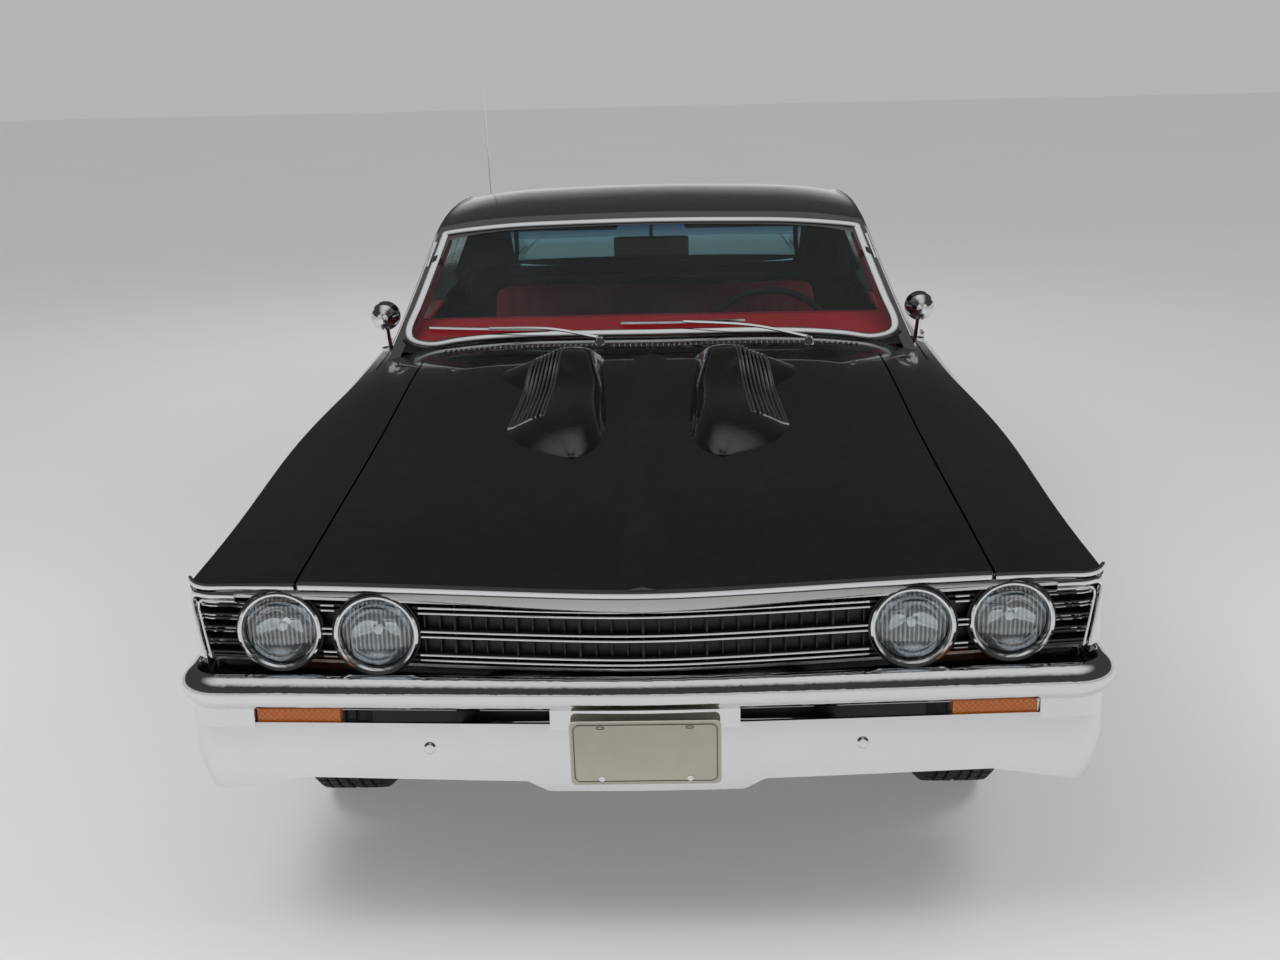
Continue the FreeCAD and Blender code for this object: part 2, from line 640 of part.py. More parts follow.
def make_surround():
    header = band(nose_plan, 0, 26, HEADER_Z, 800).cut(block(-1100, 1100, NOSE_SIDE_Y - 60, 0, 0, 1000))
    header = header.common(body_form(HOOD_SKIN + PANEL_GAP))
    sill = band(nose_plan, 14, 60, GRILLE_Z - 2, GRILLE_Z + 4).cut(block(-1100, 1100, NOSE_SIDE_Y, 0, 0, 1000))
    pieces = [header, sill]
    bore = LAMP_RADIUS + FIT_GAP
    for side in (-1, 1):
        end = band(nose_plan, 2, 26, GRILLE_Z, HEADER_Z + 2).common(
            block(min(side * 1100, side * 860), max(side * 1100, side * 860),
                  NOSE_SIDE_Y - 14, NOSE_SIDE_Y, 0, 1000))
        pieces.append(end)
        for x in LAMP_X:
            ring = [(0, bore), (-8, LAMP_RADIUS + 4), (-12, BEZEL_RADIUS - 6), (-6, BEZEL_RADIUS),
                    (60, BEZEL_RADIUS), (60, bore)]
            pieces.append(turned(ring, Vector(side * x, nose_y(x) + 4, LAMP_Z), Vector(0, 1, 0)))
    surround = union(pieces)
    for x in LAMP_X:
        hole = Part.makeCylinder(bore, 400, Vector(x, NOSE_Y, LAMP_Z), Vector(0, 1, 0))
        surround = surround.cut([hole, mirrored(hole)])
    return surround


def make_headlamps():
    lamps = []
    for x in LAMP_X:
        dome = [(-4, 0), (-3, 30), (2, 56), (8, LAMP_RADIUS), (16, LAMP_RADIUS), (58, 30), (58, 0)]
        lamps.append(turned(dome, Vector(x, nose_y(x) + 4, LAMP_Z), Vector(0, 1, 0)))
    return Part.makeCompound(lamps + [mirrored(lamp) for lamp in lamps])


def make_grille():
    inner_zone = block(-LAMP_X[1], LAMP_X[1], NOSE_Y, 0, 0, 1000)
    bars = []
    for z in GRILLE_PAIRS:
        for offset in (-BAR_PITCH / 2, BAR_PITCH / 2):
            bar = band(nose_plan, 12, 34, z + offset - BAR / 2, z + offset + BAR / 2)
            bars.append(bar.common(inner_zone))
    for z in END_PAIRS:
        for offset in (-BAR_PITCH / 3, BAR_PITCH / 3):
            bar = band(nose_plan, 8, 30, z + offset - BAR / 2, z + offset + BAR / 2)
            bar = bar.cut(inner_zone).cut(block(-1100, 1100, NOSE_SIDE_Y - 15, 0, 0, 1000))
            bars.append(bar)
    back = band(nose_plan, 34, 40, GRILLE_Z + 4 + FIT_GAP, HEADER_Z - FIT_GAP)
    back = back.cut(block(-1100, 1100, NOSE_SIDE_Y - 15, 0, 0, 1000))
    for i in range(-3, 4):
        x = i * 126
        post = band(nose_plan, 20, 36, GRILLE_Z + 4 + FIT_GAP, HEADER_Z - FIT_GAP)
        bars.append(post.common(block(x - 3, x + 3, NOSE_Y, 0, 0, 1000)))
    grille = union([back] + bars)
    for side in (-1, 1):
        for x in LAMP_X:
            hole = Part.makeCylinder(BEZEL_RADIUS + FIT_GAP, 300, Vector(side * x, NOSE_Y, LAMP_Z), Vector(0, 1, 0))
            grille = grille.cut(hole)
    return Part.makeCompound(grille.Solids)


def make_front_bumper():
    cut_back = block(-1100, 1100, BUMPER_WRAP_Y, 0, 0, 1000)
    roll = rolled(front_bumper_plan, BUMPER_PROFILE, BUMPER_WALL).cut(cut_back)
    bar = rolled(front_bumper_plan, BUMPER_BAR, BUMPER_WALL).cut(block(-1100, 1100, -2300, 0, 0, 1000))
    for side in (-1, 1):
        bar = bar.cut(front_prism([(side * 1100, 560), (side * 960, 560), (side * 893, 341), (side * 700, 378),
                                   (side * 240, 372), (side * 190, 340), (side * 190, 300),
                                   (side * 1100, 300)], NOSE_Y - 10, -2000))
    ends = band(front_bumper_plan, 22, 22 + BUMPER_WALL, 490, 545).cut(block(-1100, 1100, -2300, 0, 0, 1000))
    ends = ends.cut(block(-SLOT_OUTER_X, SLOT_OUTER_X, NOSE_Y - 10, 0, 0, 1000))
    middle = band(front_bumper_plan, 22, 22 + BUMPER_WALL, 490, 545)
    middle = middle.common(block(-SLOT_INNER_X, SLOT_INNER_X, NOSE_Y - 10, -2000, 0, 1000))
    iron = block(*BUMPER_IRON_X, NOSE_Y + BUMPER_IRON_DEPTH, RAIL_FRONT_Y - FIT_GAP, *BUMPER_IRON_Z)
    bumper = union([roll, bar, ends, middle, iron, mirrored(iron)])
    fenders = body_form(-FIT_GAP).common(block(-1100, 1100, NOSE_SIDE_Y - 3, -2000, 0, 1000))
    return bumper.cut(fenders)


def make_parking_lamps():
    lamp = band(front_bumper_plan, 32, 60, 500 + FIT_GAP, 528).common(block(616, 786, NOSE_Y, -2000, 0, 1000))
    return both(biggest(lamp))


def make_rear_bumper():
    """Curved bar with a shallow box in its middle that takes the plate."""
    roll = rolled(rear_bumper_plan, REAR_BUMPER, BUMPER_WALL)
    roll = at_tail(roll.cut(block(-1100, 1100, -TAIL_Y + 330, 100, 0, 1000)))
    low, high = PLATE_Z
    box = block(-PLATE_HALF, PLATE_HALF, TAIL_Y - 64, TAIL_Y - 4, low, high)
    room = block(-PLATE_HALF + SHEET, PLATE_HALF - SHEET, TAIL_Y - 60, TAIL_Y + 20, low + SHEET, high - SHEET)
    bumper = roll.cut(box).fuse(box).cut(room)
    for side in (-1, 1):
        bolt = Vector(side * PLATE_BOLT_X, TAIL_Y - 80, PLATE_BOLT_Z)
        bumper = bumper.cut(Part.makeCylinder(3.5, 40, bolt, Vector(0, 1, 0)))
        bumper = bumper.fuse(block(side * 510 - 28, side * 510 + 28, 2340 + FIT_GAP, TAIL_Y - 25, 430, 470))
        bumper = bumper.fuse(block(side * 510 - 28, side * 510 + 28, 2340 + FIT_GAP, 2360, 335, 440))
    body = body_form(-FIT_GAP).common(at_tail(upright(tail_plan, -FIT_GAP, 0, 1400)))
    return bumper.cut(body)


def make_tail_lamps():
    lamp = at_tail(band(tail_plan, -4, 34, TAIL_LAMP_Z, TAIL_LAMP_Z + TAIL_LAMP_HEIGHT))
    lamp = lamp.cut(block(-1100, TAIL_LAMP_X, 0, 2600, 0, 1200))
    return both(biggest(lamp.cut(block(-1100, 1100, 0, TAIL_PANEL_Y - 226, 0, 1200))))


# Chassis

def gearbox(grow):
    start, end = GEARBOX_RADII
    return Part.makeCone(start + grow, end + grow, GEARBOX_LENGTH, Vector(0, ENGINE_REAR_Y - 1, GEARBOX_Z),
                         Vector(0, 1, 0))


def make_rail():
    side_plan = [(345, RAIL_FRONT_Y), (405, RAIL_FRONT_Y), (405, -1180), (690, -880), (690, 720), (540, 980), (540, 2330),
                 (480, 2330), (480, 950), (630, 690), (630, -850), (345, -1150)]
    side_view = [(-2340, 300), (-2340, RAIL_TOP_Z), (-1350, RAIL_TOP_Z), (-950, CABIN_RAIL_Z), (800, CABIN_RAIL_Z),
                 (1060, 470), (1540, 470), (1690, 400), (2340, 400), (2340, 330), (1660, 330), (1500, 408),
                 (1080, 408), (850, 190), (-1000, 190), (-1400, 300)]
    return plan_prism(side_plan, 0, 600).common(side_prism(side_view, 0, 1000))


def make_frame():
    """Ladder frame with its crossmembers and the pads that carry the body and the engine."""
    rail = make_rail()
    for x, y, z, top in ((660, -780, CABIN_RAIL_Z, FLOOR_Z - SHEET), (660, 500, CABIN_RAIL_Z, FLOOR_Z - SHEET),
                         (510, 2100, 400, TRUNK_Z)):
        rail = rail.fuse(Part.makeCylinder(28, top - FIT_GAP - z + 5, Vector(x, y, z - 5)))
    bow = front_prism([(-650, 284), (-650, 256), (-250, 256), (-130, 200), (130, 200), (250, 256), (650, 256),
                       (650, 284)], -560, -500)
    crosses = [block(-360, 360, FRONT_AXLE_Y - 90, FRONT_AXLE_Y + 90, LOWER_ARM_Z + FIT_GAP, 310),
               block(-360, 360, -2290, -2230, 310, 380),
               bow.cut(gearbox(FIT_GAP)),
               block(-500, 500, 1680, 1735, 340, 395),
               block(-500, 500, 2260, 2320, 335, 395)]
    for side in (-1, 1):
        crosses.append(block(side * 210 - 30, side * 210 + 30, -1690, -1590, 305, ENGINE_Z - FIT_GAP))
    return union([rail, mirrored(rail)] + crosses)


def make_floor(shell):
    """Floor pan with tunnel, firewall and rear wheelhouses, in one thin sheet."""
    low = FLOOR_Z - SHEET
    tunnel = Part.makeCylinder(TUNNEL_RADIUS, 1800, Vector(0, -914, FLOOR_Z), Vector(0, 1, 0))
    bore = Part.makeCylinder(TUNNEL_RADIUS - SHEET, 1900, Vector(0, -950, FLOOR_Z), Vector(0, 1, 0))
    firewall = block(-735, 735, -918, -914, low, 885)
    top = block(-690, 690, -918, -914, 880, 925)
    pan_half = ROCKER_X - FIT_GAP
    pan = block(-pan_half, pan_half, -918, 640, low, FLOOR_Z)
    rise = [(640, low), (640, FLOOR_Z), (940, 430), (980, 544), (1620, 544), (1720, TRUNK_Z + 6),
            (2360, TRUNK_Z + 6), (2360, TRUNK_Z), (1716, TRUNK_Z), (1616, 538), (984, 538), (946, 424)]
    tunnel = tunnel.cut(block(-TUNNEL_RADIUS, TUNNEL_RADIUS, -1000, 900, 0, low))
    pieces = [pan, firewall, top, tunnel, side_prism(rise, -585, 585)]
    for side in (-1, 1):
        outer_tub = arch_cut(REAR_AXLE_Y, 585, 930, ARCH_RADIUS + 16)
        inner_tub = arch_cut(REAR_AXLE_Y, 585 + SHEET, 985, ARCH_RADIUS + 12)
        tub = outer_tub.cut(inner_tub).cut(block(570, 1000, 0, 2600, 0, 300))
        tub = tub.cut(block(570, 600, REAR_AXLE_Y - 90, REAR_AXLE_Y + 90, 0, 440))
        tub = tub.cut(block(570, 610, REAR_AXLE_Y - ARCH_RADIUS - 20, REAR_AXLE_Y - ARCH_RADIUS + 20, 0, 370))
        pieces.append(tub if side > 0 else mirrored(tub))
    floor = union(pieces).cut(bore).cut(shell)
    return biggest(floor)


def make_core_support():
    plate = block(-600, 600, -2206, -2190, RAIL_TOP_Z + FIT_GAP, 720)
    core = block(-340, 340, -2216, -2160, 410, 700)
    return plate.fuse(core).removeSplitter()


def make_engine():
    return union([block(-ENGINE_HALF, ENGINE_HALF, -1850, ENGINE_REAR_Y, ENGINE_Z, 770), gearbox(0)])


def make_rear_axle():
    """Axle with its leaf springs and the propeller shaft."""
    hub = Vector(0, REAR_AXLE_Y, TYRE_RADIUS)
    across = Vector(1, 0, 0)
    tube = rod(hub - across * 640, hub + across * 640, 38)
    stubs = rod(hub - across * (WHEEL_X + 10), hub + across * (WHEEL_X + 10), SPINDLE_RADIUS)
    pumpkin = turned([(-130, 0), (-118, 70), (-70, 116), (0, 128), (70, 110), (118, 60), (130, 0)], hub, across)
    shaft_start = Vector(0, ENGINE_REAR_Y + GEARBOX_LENGTH, GEARBOX_Z)
    pieces = [tube, stubs, pumpkin, rod(shaft_start, Vector(0, REAR_AXLE_Y - 100, 330), 36)]
    x0, x1 = LEAF_X
    leaf = side_prism([(925, 238), (925, 252), (REAR_AXLE_Y, 294), (1930, 312), (1930, 298), (REAR_AXLE_Y, 278)],
                      x0, x1)
    perch = block(x0 + 6, x1 - 6, REAR_AXLE_Y - 36, REAR_AXLE_Y + 36, 286, 330)
    eye = block(x0, x1, 925, 950, 244, 330).cut(make_rail())
    shackle = block(x0, 539, 1910, 1930, 300, 330 - FIT_GAP)
    spring = union([leaf, perch, biggest(eye), shackle])
    pieces += [spring, mirrored(spring)]
    for side in (-1, 1):
        pieces.append(rod(hub + across * side * 636, hub + across * side * 642, 126))
    return union(pieces)


def make_front_suspension():
    """Lower and upper arms, coil spring and spring tower of one side and its mirror image."""
    y = FRONT_AXLE_Y
    low = LOWER_ARM_Z - 18
    lower = plan_prism([(330, y - 80), (380, y - 120), (650, y - 20), (650, y + 20), (380, y + 120), (330, y + 80)],
                       low, LOWER_ARM_Z)
    lower = lower.cut(plan_prism([(405, y - 75), (410, y - 80), (410, y - 75)], low - 5, LOWER_ARM_Z + 5))
    upper = plan_prism([(400, y - 82), (425, y - 87), (646, y - 15), (646, y + 15), (425, y + 87), (400, y + 82)],
                       UPPER_ARM_Z, UPPER_ARM_Z + 14)
    tower = block(345, 404, y - 100, y + 100, RAIL_TOP_Z + FIT_GAP, 500)
    spring = Part.makeCylinder(52, UPPER_ARM_Z - LOWER_ARM_Z + 4, Vector(470, y, LOWER_ARM_Z - 2))
    return both(union([lower, upper, tower, spring]))


def make_knuckle():
    """Upright post on the steering axis, with the wheel spindle and the brake's back plate."""
    y = FRONT_AXLE_Y
    post = rod(Vector(KINGPIN_X, y, LOWER_ARM_Z + FIT_GAP), Vector(KINGPIN_X, y, UPPER_ARM_Z - FIT_GAP), 13)
    spindle = rod(Vector(KINGPIN_X - 20, y, TYRE_RADIUS), Vector(WHEEL_X + 10, y, TYRE_RADIUS), SPINDLE_RADIUS)
    plate = rod(Vector(640, y, TYRE_RADIUS), Vector(646, y, TYRE_RADIUS), 126)
    return union([post, spindle, plate])


def make_rim():
    """Steel wheel with its drum, turned about the axle, at x from the wheel's middle."""
    half = RIM_WIDTH / 2
    barrel = [(-half, BEAD_RADIUS - 6), (-half, BEAD_RADIUS + 12), (-half + 8, BEAD_RADIUS + 12),
              (-half + 14, BEAD_RADIUS - 1), (half - 14, BEAD_RADIUS - 1),
              (half - 8, BEAD_RADIUS + 12), (half, BEAD_RADIUS + 12), (half, BEAD_RADIUS - 6)]
    disc = [(8, SPINDLE_RADIUS + HUB_GAP), (8, 60), (24, 100), (4, 150), (-10, BEAD_RADIUS - 6),
            (2, BEAD_RADIUS - 6), (16, 150), (36, 100), (WHEEL_FACE, 60), (WHEEL_FACE, SPINDLE_RADIUS + HUB_GAP)]
    drum = [(-84, SPINDLE_RADIUS + HUB_GAP), (-84, DRUM_RADIUS), (-20, DRUM_RADIUS), (-10, 60), (10, 60),
            (10, SPINDLE_RADIUS + HUB_GAP)]
    origin = Vector(0, 0, 0)
    return union([turned(outline, origin, Vector(1, 0, 0)) for outline in (barrel, disc, drum)])


def make_tyre():
    """Tyre with plain tread, its circles drawn as many-sided outlines round the profile's circles."""
    half = TYRE_WIDTH / 2
    seat = BEAD_RADIUS + 12 + FIT_GAP
    outline = [(-RIM_WIDTH / 2 + 4, seat), (-half, 256), (-half + 8, 308), (-half + 30, TYRE_RADIUS),
               (half - 30, TYRE_RADIUS), (half - 8, 308), (half, 256), (RIM_WIDTH / 2 - 4, seat)]
    step = 2 * math.pi / TYRE_SIDES
    grow = 1 / math.cos(step / 2)
    rings = []
    for x, radius in outline:
        angles = [step * (i + 0.5) for i in range(TYRE_SIDES)]
        rings.append([Vector(x, radius * grow * math.cos(a), radius * grow * math.sin(a)) for a in angles])
    faces = []
    for ring, other in zip(rings, rings[1:] + rings[:1]):
        for i in range(TYRE_SIDES):
            j = (i + 1) % TYRE_SIDES
            faces.append(Part.Face(polygon([ring[i], ring[j], other[j], other[i]])))
    return Part.Solid(Part.makeShell(faces))


def make_exhaust():
    """Twin pipes with mufflers and tail pipes over the axle; one side and its mirror image."""
    route = [Vector(300, -1120, 420), Vector(300, -980, PIPE_Z), Vector(300, 300, PIPE_Z)]
    tail = [Vector(300, 820, PIPE_Z), Vector(330, 960, PIPE_Z), Vector(430, 1110, 445), Vector(430, 1440, 445),
            Vector(430, 1640, 285), Vector(430, 2400, 285)]
    manifold = block(ENGINE_HALF + FIT_GAP, 325, -1180, -1100, 395, 445)
    muffler = Part.makeCylinder(MUFFLER_RADIUS, 520, Vector(300, 300, PIPE_Z), Vector(0, 1, 0))
    hanger = block(285, 315, 540, 580, PIPE_Z + 40, FLOOR_Z - SHEET - FIT_GAP)
    return both(union([bent_tube(route, PIPE_RADIUS, 110), manifold, muffler, hanger,
                       bent_tube(tail, PIPE_RADIUS, 40)]))


def make_fuel_tank():
    tank = block(-370, 370, 1740, 2230, 258, TRUNK_Z - FIT_GAP)
    return tank.makeChamfer(18, tank.Edges)


# Interior

def make_dash():
    profile = [(-756, 900), (-762, 948), (-690, 968), (-600, 964), (-575, 940), (-580, 880), (-640, 760), (-720, 720)]
    dash = side_prism(profile, -DOOR_INNER_X + 20, DOOR_INNER_X - 20)
    tilt = math.radians(STEER_TILT)
    axis = Vector(0, -math.cos(tilt), -math.sin(tilt))
    column = rod(STEER_CENTRE + axis * 95, STEER_CENTRE + axis * 420, 32)
    bracket = block(-600, 600, -914, -700, 700, 760)
    return union([dash, column, bracket])


def make_steering_wheel():
    tilt = math.radians(STEER_TILT)
    axis = Vector(0, -math.cos(tilt), -math.sin(tilt))
    section = [(11 * math.cos(a), STEER_RADIUS + 11 * math.sin(a))
               for a in (math.radians(22.5 + 45 * i) for i in range(8))]
    rim = turned(section, STEER_CENTRE, axis)
    hub = Part.makeCone(52, 34, 60, STEER_CENTRE + axis * 10, axis)
    shaft = rod(STEER_CENTRE + axis * 60, STEER_CENTRE + axis * (95 - FIT_GAP), 14)
    pieces = [rim, hub, shaft]
    across = Vector(1, 0, 0)
    down = across.cross(axis)
    for angle in (0, 180, 270 if down.z > 0 else 90):
        way = across * math.cos(math.radians(angle)) + down * math.sin(math.radians(angle))
        start = STEER_CENTRE + axis * 34 + way * 30
        pieces.append(rod(start, STEER_CENTRE + way * STEER_RADIUS, 8))
    return union(pieces)


def make_front_seats():
    cushion = [(-330, 372), (-345, 500), (-300, 548), (90, 520), (140, 470), (150, 372)]
    backrest = [(60, 440), (90, 560), (150, SEAT_TOP_Z - 30), (190, SEAT_TOP_Z), (235, SEAT_TOP_Z - 20),
                (250, 900), (215, 600), (160, 440)]
    base = block(SEAT_X - 170, SEAT_X + 170, -270, 90, FLOOR_Z, 374)
    low = side_prism(cushion, SEAT_X - SEAT_HALF, SEAT_X + SEAT_HALF)
    high = side_prism(backrest, SEAT_X - SEAT_HALF + 6, SEAT_X + SEAT_HALF - 6)
    return both(union([low, high, base]))


def make_rear_seat():
    low = FLOOR_Z + FIT_GAP
    profile = [(560, low), (545, 470), (590, 510), (820, 480), (850, 560), (930, 900), (985, 905), (915, low + 127),
               (640, low)]
    seat = side_prism(profile, -575, 575)
    return seat.cut(Part.makeCylinder(TUNNEL_RADIUS + 2, 1800, Vector(0, -914, FLOOR_Z), Vector(0, 1, 0)))


def make_shelf():
    return block(-560, 560, 890, 1000, 905 + FIT_GAP, 913)


def make_inside_mirror():
    head = block(-117, 117, -372, -352, 1158, 1218)
    stem = rod(Vector(0, -360, 1210), Vector(0, -360, 1300), 6).common(roof_form(PILLAR + FIT_GAP))
    return union([head.makeChamfer(4, head.Edges), stem])


def make_wipers():
    """Two wipers that lie along the foot of the glass, on their cowl pivots."""
    wipers = []
    for pivot_x, tip_x in ((-144, -640), (450, -60)):
        pivot = Vector(pivot_x, -915, body_top(pivot_x, -915))
        middle_x = (pivot_x + tip_x) / 2 - 40
        rest = Vector(middle_x, glass_y(middle_x, 1002) - 16, 1002)
        post = rod(pivot - Vector(0, 0, 5), pivot + Vector(0, 0, 22), 9)
        arm = rod(pivot + Vector(0, 0, 18), rest, 4)
        tips = [Vector(x, glass_y(x, 1000) - 14, 1000) for x in (tip_x, middle_x, middle_x * 2 - tip_x)]
        blade = bent_strip(tips)
        wipers.append(union([post, arm, blade]))
    return Part.makeCompound(wipers).cut(body_form(-FIT_GAP))


def glass_y(x, z):
    share = (z - SHIELD_CORNER.z) / (SHIELD_TOP.z - SHIELD_CORNER.z)
    corner_y = SHIELD_CORNER.y + (SHIELD_TOP.y - SHIELD_CORNER.y) * share
    bow = SHIELD_BOW_LOW + (SHIELD_BOW_HIGH - SHIELD_BOW_LOW) * share
    return corner_y - bow * (1 - (x / SHIELD_CORNER.x) ** 2)


def bent_strip(points):
    return union([rod(a, b, 5) for a, b in zip(points, points[1:])])


def make_antenna():
    foot_z = body_top(720, 1690)
    base = Part.makeCone(18, 10, 26, Vector(-720, 1690, foot_z - 1))
    mast = rod(Vector(-720, 1690, foot_z + 10), Vector(-740, 1700, 1626), 2.6)
    return union([base, mast]).cut(body_form(0))


def place_wheel(shape, side, axle_y):
    placed = shape.copy() if side > 0 else mirrored(shape)
    placed.translate(Vector(side * WHEEL_X, axle_y, TYRE_RADIUS))
    return placed


def make_parts():
    parts = {}
    outer = body_form(0)
    skin = outer.cut(body_form(SKIN))
    shell = make_body_shell(outer, skin)
    parts["body_shell"] = shell
    parts["floor_pan"] = make_floor(shell)
    parts["hood"] = make_hood(outer)
    parts["decklid"] = make_decklid(outer)
    fender = make_fender(skin)
    parts["fender_left"] = fender
    parts["fender_right"] = mirrored(fender)
    door = make_door(outer)
    glass = make_door_glass(door, outer)
    mirror = make_mirror()
    for name, shape in (("door", door), ("door_glass", glass), ("mirror", mirror)):
        parts[name + "_left"] = shape
        parts[name + "_right"] = mirrored(shape)
    parts["windshield"] = make_windshield(shell)
    parts["rear_window"] = make_rear_window(shell)
    parts["quarter_windows"] = make_quarter_glass(outer)
    parts["grille_surround"] = make_surround()
    parts["grille"] = make_grille()
    parts["headlamps"] = make_headlamps()
    parts["front_bumper"] = make_front_bumper()
    parts["parking_lamps"] = make_parking_lamps()
    parts["rear_bumper"] = make_rear_bumper()
    parts["tail_lamps"] = make_tail_lamps()
    parts["frame_rails"] = make_frame()
    parts["core_support"] = make_core_support()
    parts["engine"] = make_engine()
    parts["rear_axle"] = make_rear_axle()
    parts["front_suspension"] = make_front_suspension()
    parts["exhaust"] = make_exhaust()
    parts["fuel_tank"] = make_fuel_tank()
    parts["dash"] = make_dash()
    parts["steering_wheel"] = make_steering_wheel()
    parts["front_seats"] = make_front_seats()
    parts["rear_seat"] = make_rear_seat()
    parts["parcel_shelf"] = make_shelf()
    parts["inside_mirror"] = make_inside_mirror()
    parts["wipers"] = make_wipers()
    parts["antenna"] = make_antenna()
    knuckle = make_knuckle()
    parts["knuckle_left"] = knuckle
    parts["knuckle_right"] = mirrored(knuckle)
    rim = make_rim()
    tyre = make_tyre()
    for end, axle_y in (("front", FRONT_AXLE_Y), ("rear", REAR_AXLE_Y)):
        for name, side in (("left", 1), ("right", -1)):
            parts["wheel_" + end + "_" + name] = place_wheel(rim, side, axle_y)
            parts["tyre_" + end + "_" + name] = place_wheel(tyre, side, axle_y)
    return parts


def main():
    os.makedirs("parts", exist_ok=True)
    for name, shape in make_parts().items():
        shape.exportStep("parts/" + name + ".step")


main()
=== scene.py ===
"""Looks of the black two-door hardtop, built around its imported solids.

Design sizes are millimetres in the car's own frame and become metres where a mesh is made.
The nose points to -Y, +X is the driver's side and the ground is at z = 0.
"""
import logging
from dataclasses import dataclass, field
from enum import Enum
from math import asin, copysign, cos, exp, pi, radians, sin, sqrt
from typing import Callable, List, Optional, Sequence, Tuple

import bmesh
import bpy
from mathutils import Matrix, Vector
from mathutils.bvhtree import BVHTree


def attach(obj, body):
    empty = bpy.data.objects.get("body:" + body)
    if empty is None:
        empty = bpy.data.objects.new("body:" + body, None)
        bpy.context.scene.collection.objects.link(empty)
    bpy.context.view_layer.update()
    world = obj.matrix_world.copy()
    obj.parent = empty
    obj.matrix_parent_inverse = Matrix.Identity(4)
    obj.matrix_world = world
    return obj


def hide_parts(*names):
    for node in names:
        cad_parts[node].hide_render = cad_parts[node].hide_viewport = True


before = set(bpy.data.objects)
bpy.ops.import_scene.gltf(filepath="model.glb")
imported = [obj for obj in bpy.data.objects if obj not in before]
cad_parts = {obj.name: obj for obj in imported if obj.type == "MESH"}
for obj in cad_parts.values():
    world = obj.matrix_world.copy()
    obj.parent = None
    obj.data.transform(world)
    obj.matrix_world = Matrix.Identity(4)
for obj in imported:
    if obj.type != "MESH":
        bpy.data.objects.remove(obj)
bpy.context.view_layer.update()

LOG = logging.getLogger("hardtop")
MM = 0.001
CHASSIS = "chassis"
Line = Sequence[Tuple[float, float]]
Socket = bpy.types.NodeSocket
Color = Tuple[float, float, float]

# Body lines shared with the solids, as (place along Y, value)
CREASE_X: Line = ((-2600, 930), (-2340, 920), (-1900, 903), (-1300, 873), (-800, 820), (300, 826), (900, 866),
                  (1400, 884), (2100, 878), (2600, 852))
CREASE_Z: Line = ((-2600, 752), (-2340, 772), (-1500, 848), (-900, 906), (-300, 916), (300, 922), (900, 951),
                  (1500, 948), (2100, 918), (2600, 872))
CROWN: Line = ((-2600, 12), (-2300, 16), (-1500, 44), (-900, 76), (0, 70), (1200, 26), (2600, 14))
ROOF_Z: Line = ((-1000, 1228), (-430, 1300), (-60, 1316), (300, 1318), (660, 1288), (960, 1190), (1300, 1058),
                (1620, 935))
DRIP_X: Line = ((-1000, 640), (-430, 652), (100, 664), (600, 650), (1000, 652), (1620, 720))
GLASS_FOOT_X: Line = ((-1000, 796), (-770, 800), (0, 806), (900, 822), (1620, 826))
GLASS_FOOT_Z = 860.0
ROOF_CROWN = 36.0
PILLAR = 30.0

# Windshield corners, nose plan and wheels
SHIELD_CORNER = Vector((736, -772, 961))
SHIELD_TOP = Vector((632, -390, 1276))
SHIELD_BOW_LOW = 108.0
SHIELD_BOW_HIGH = 56.0
HOOD_TIP_Y = -2467.0
NOSE_SLOPE = 0.1416
NOSE_BLEND = 160.0
NOSE_HALF = 938.0
NOSE_CORNER = 70.0
HOOD_FRONT_HALF = 699.0
FRONT_AXLE_Y = -1638.0
REAR_AXLE_Y = 1283.0
WHEEL_X = 736.5
TYRE_RADIUS = 335.0


class Side(Enum):
    """The two sides of the car, as the sign of X."""

    LEFT = 1
    RIGHT = -1


class Axle(Enum):
    """The two axles, as their place along the car."""

    FRONT = FRONT_AXLE_Y
    REAR = REAR_AXLE_Y


# Lines and surfaces

def at(x: float, y: float, z: float) -> Vector:
    """Return a point, or a way through space."""
    return Vector((x, y, z))


def along(line: Line, y: float) -> float:
    """Read a body line.

    Args:
        line: places along the car with their values.
        y: the place to read.

    Returns:
        The value there, on the same monotone curve as the solids.
    """
    if y <= line[0][0]:
        return line[0][1]
    slopes = [(b[1] - a[1]) / (b[0] - a[0]) for a, b in zip(line, line[1:])]
    tangents = [slopes[0]]
    for before, after in zip(slopes, slopes[1:]):
        tangents.append(0 if before * after <= 0 else 2 * before * after / (before + after))
    tangents.append(slopes[-1])
    for i, (start, end) in enumerate(zip(line, line[1:])):
        if y <= end[0]:
            span = end[0] - start[0]
            t = (y - start[0]) / span
            near = (1 + 2 * t) * (1 - t) ** 2 * start[1] + t * (1 - t) ** 2 * span * tangents[i]
            return near + t * t * (3 - 2 * t) * end[1] + t * t * (t - 1) * span * tangents[i + 1]
    return line[-1][1]


def body_top(x: float, y: float) -> float:
    """Return the height of the hood, cowl or deck surface."""
    rise = along(CROWN, y) * (1 - min(1.0, abs(x) / along(CREASE_X, y)) ** 3.5)
    return along(CREASE_Z, y) + rise


def nose_y(x: float) -> float:
    """Return the front edge of the nose in plan."""
    return HOOD_TIP_Y + NOSE_SLOPE * (sqrt(x * x + NOSE_BLEND ** 2) - NOSE_BLEND)


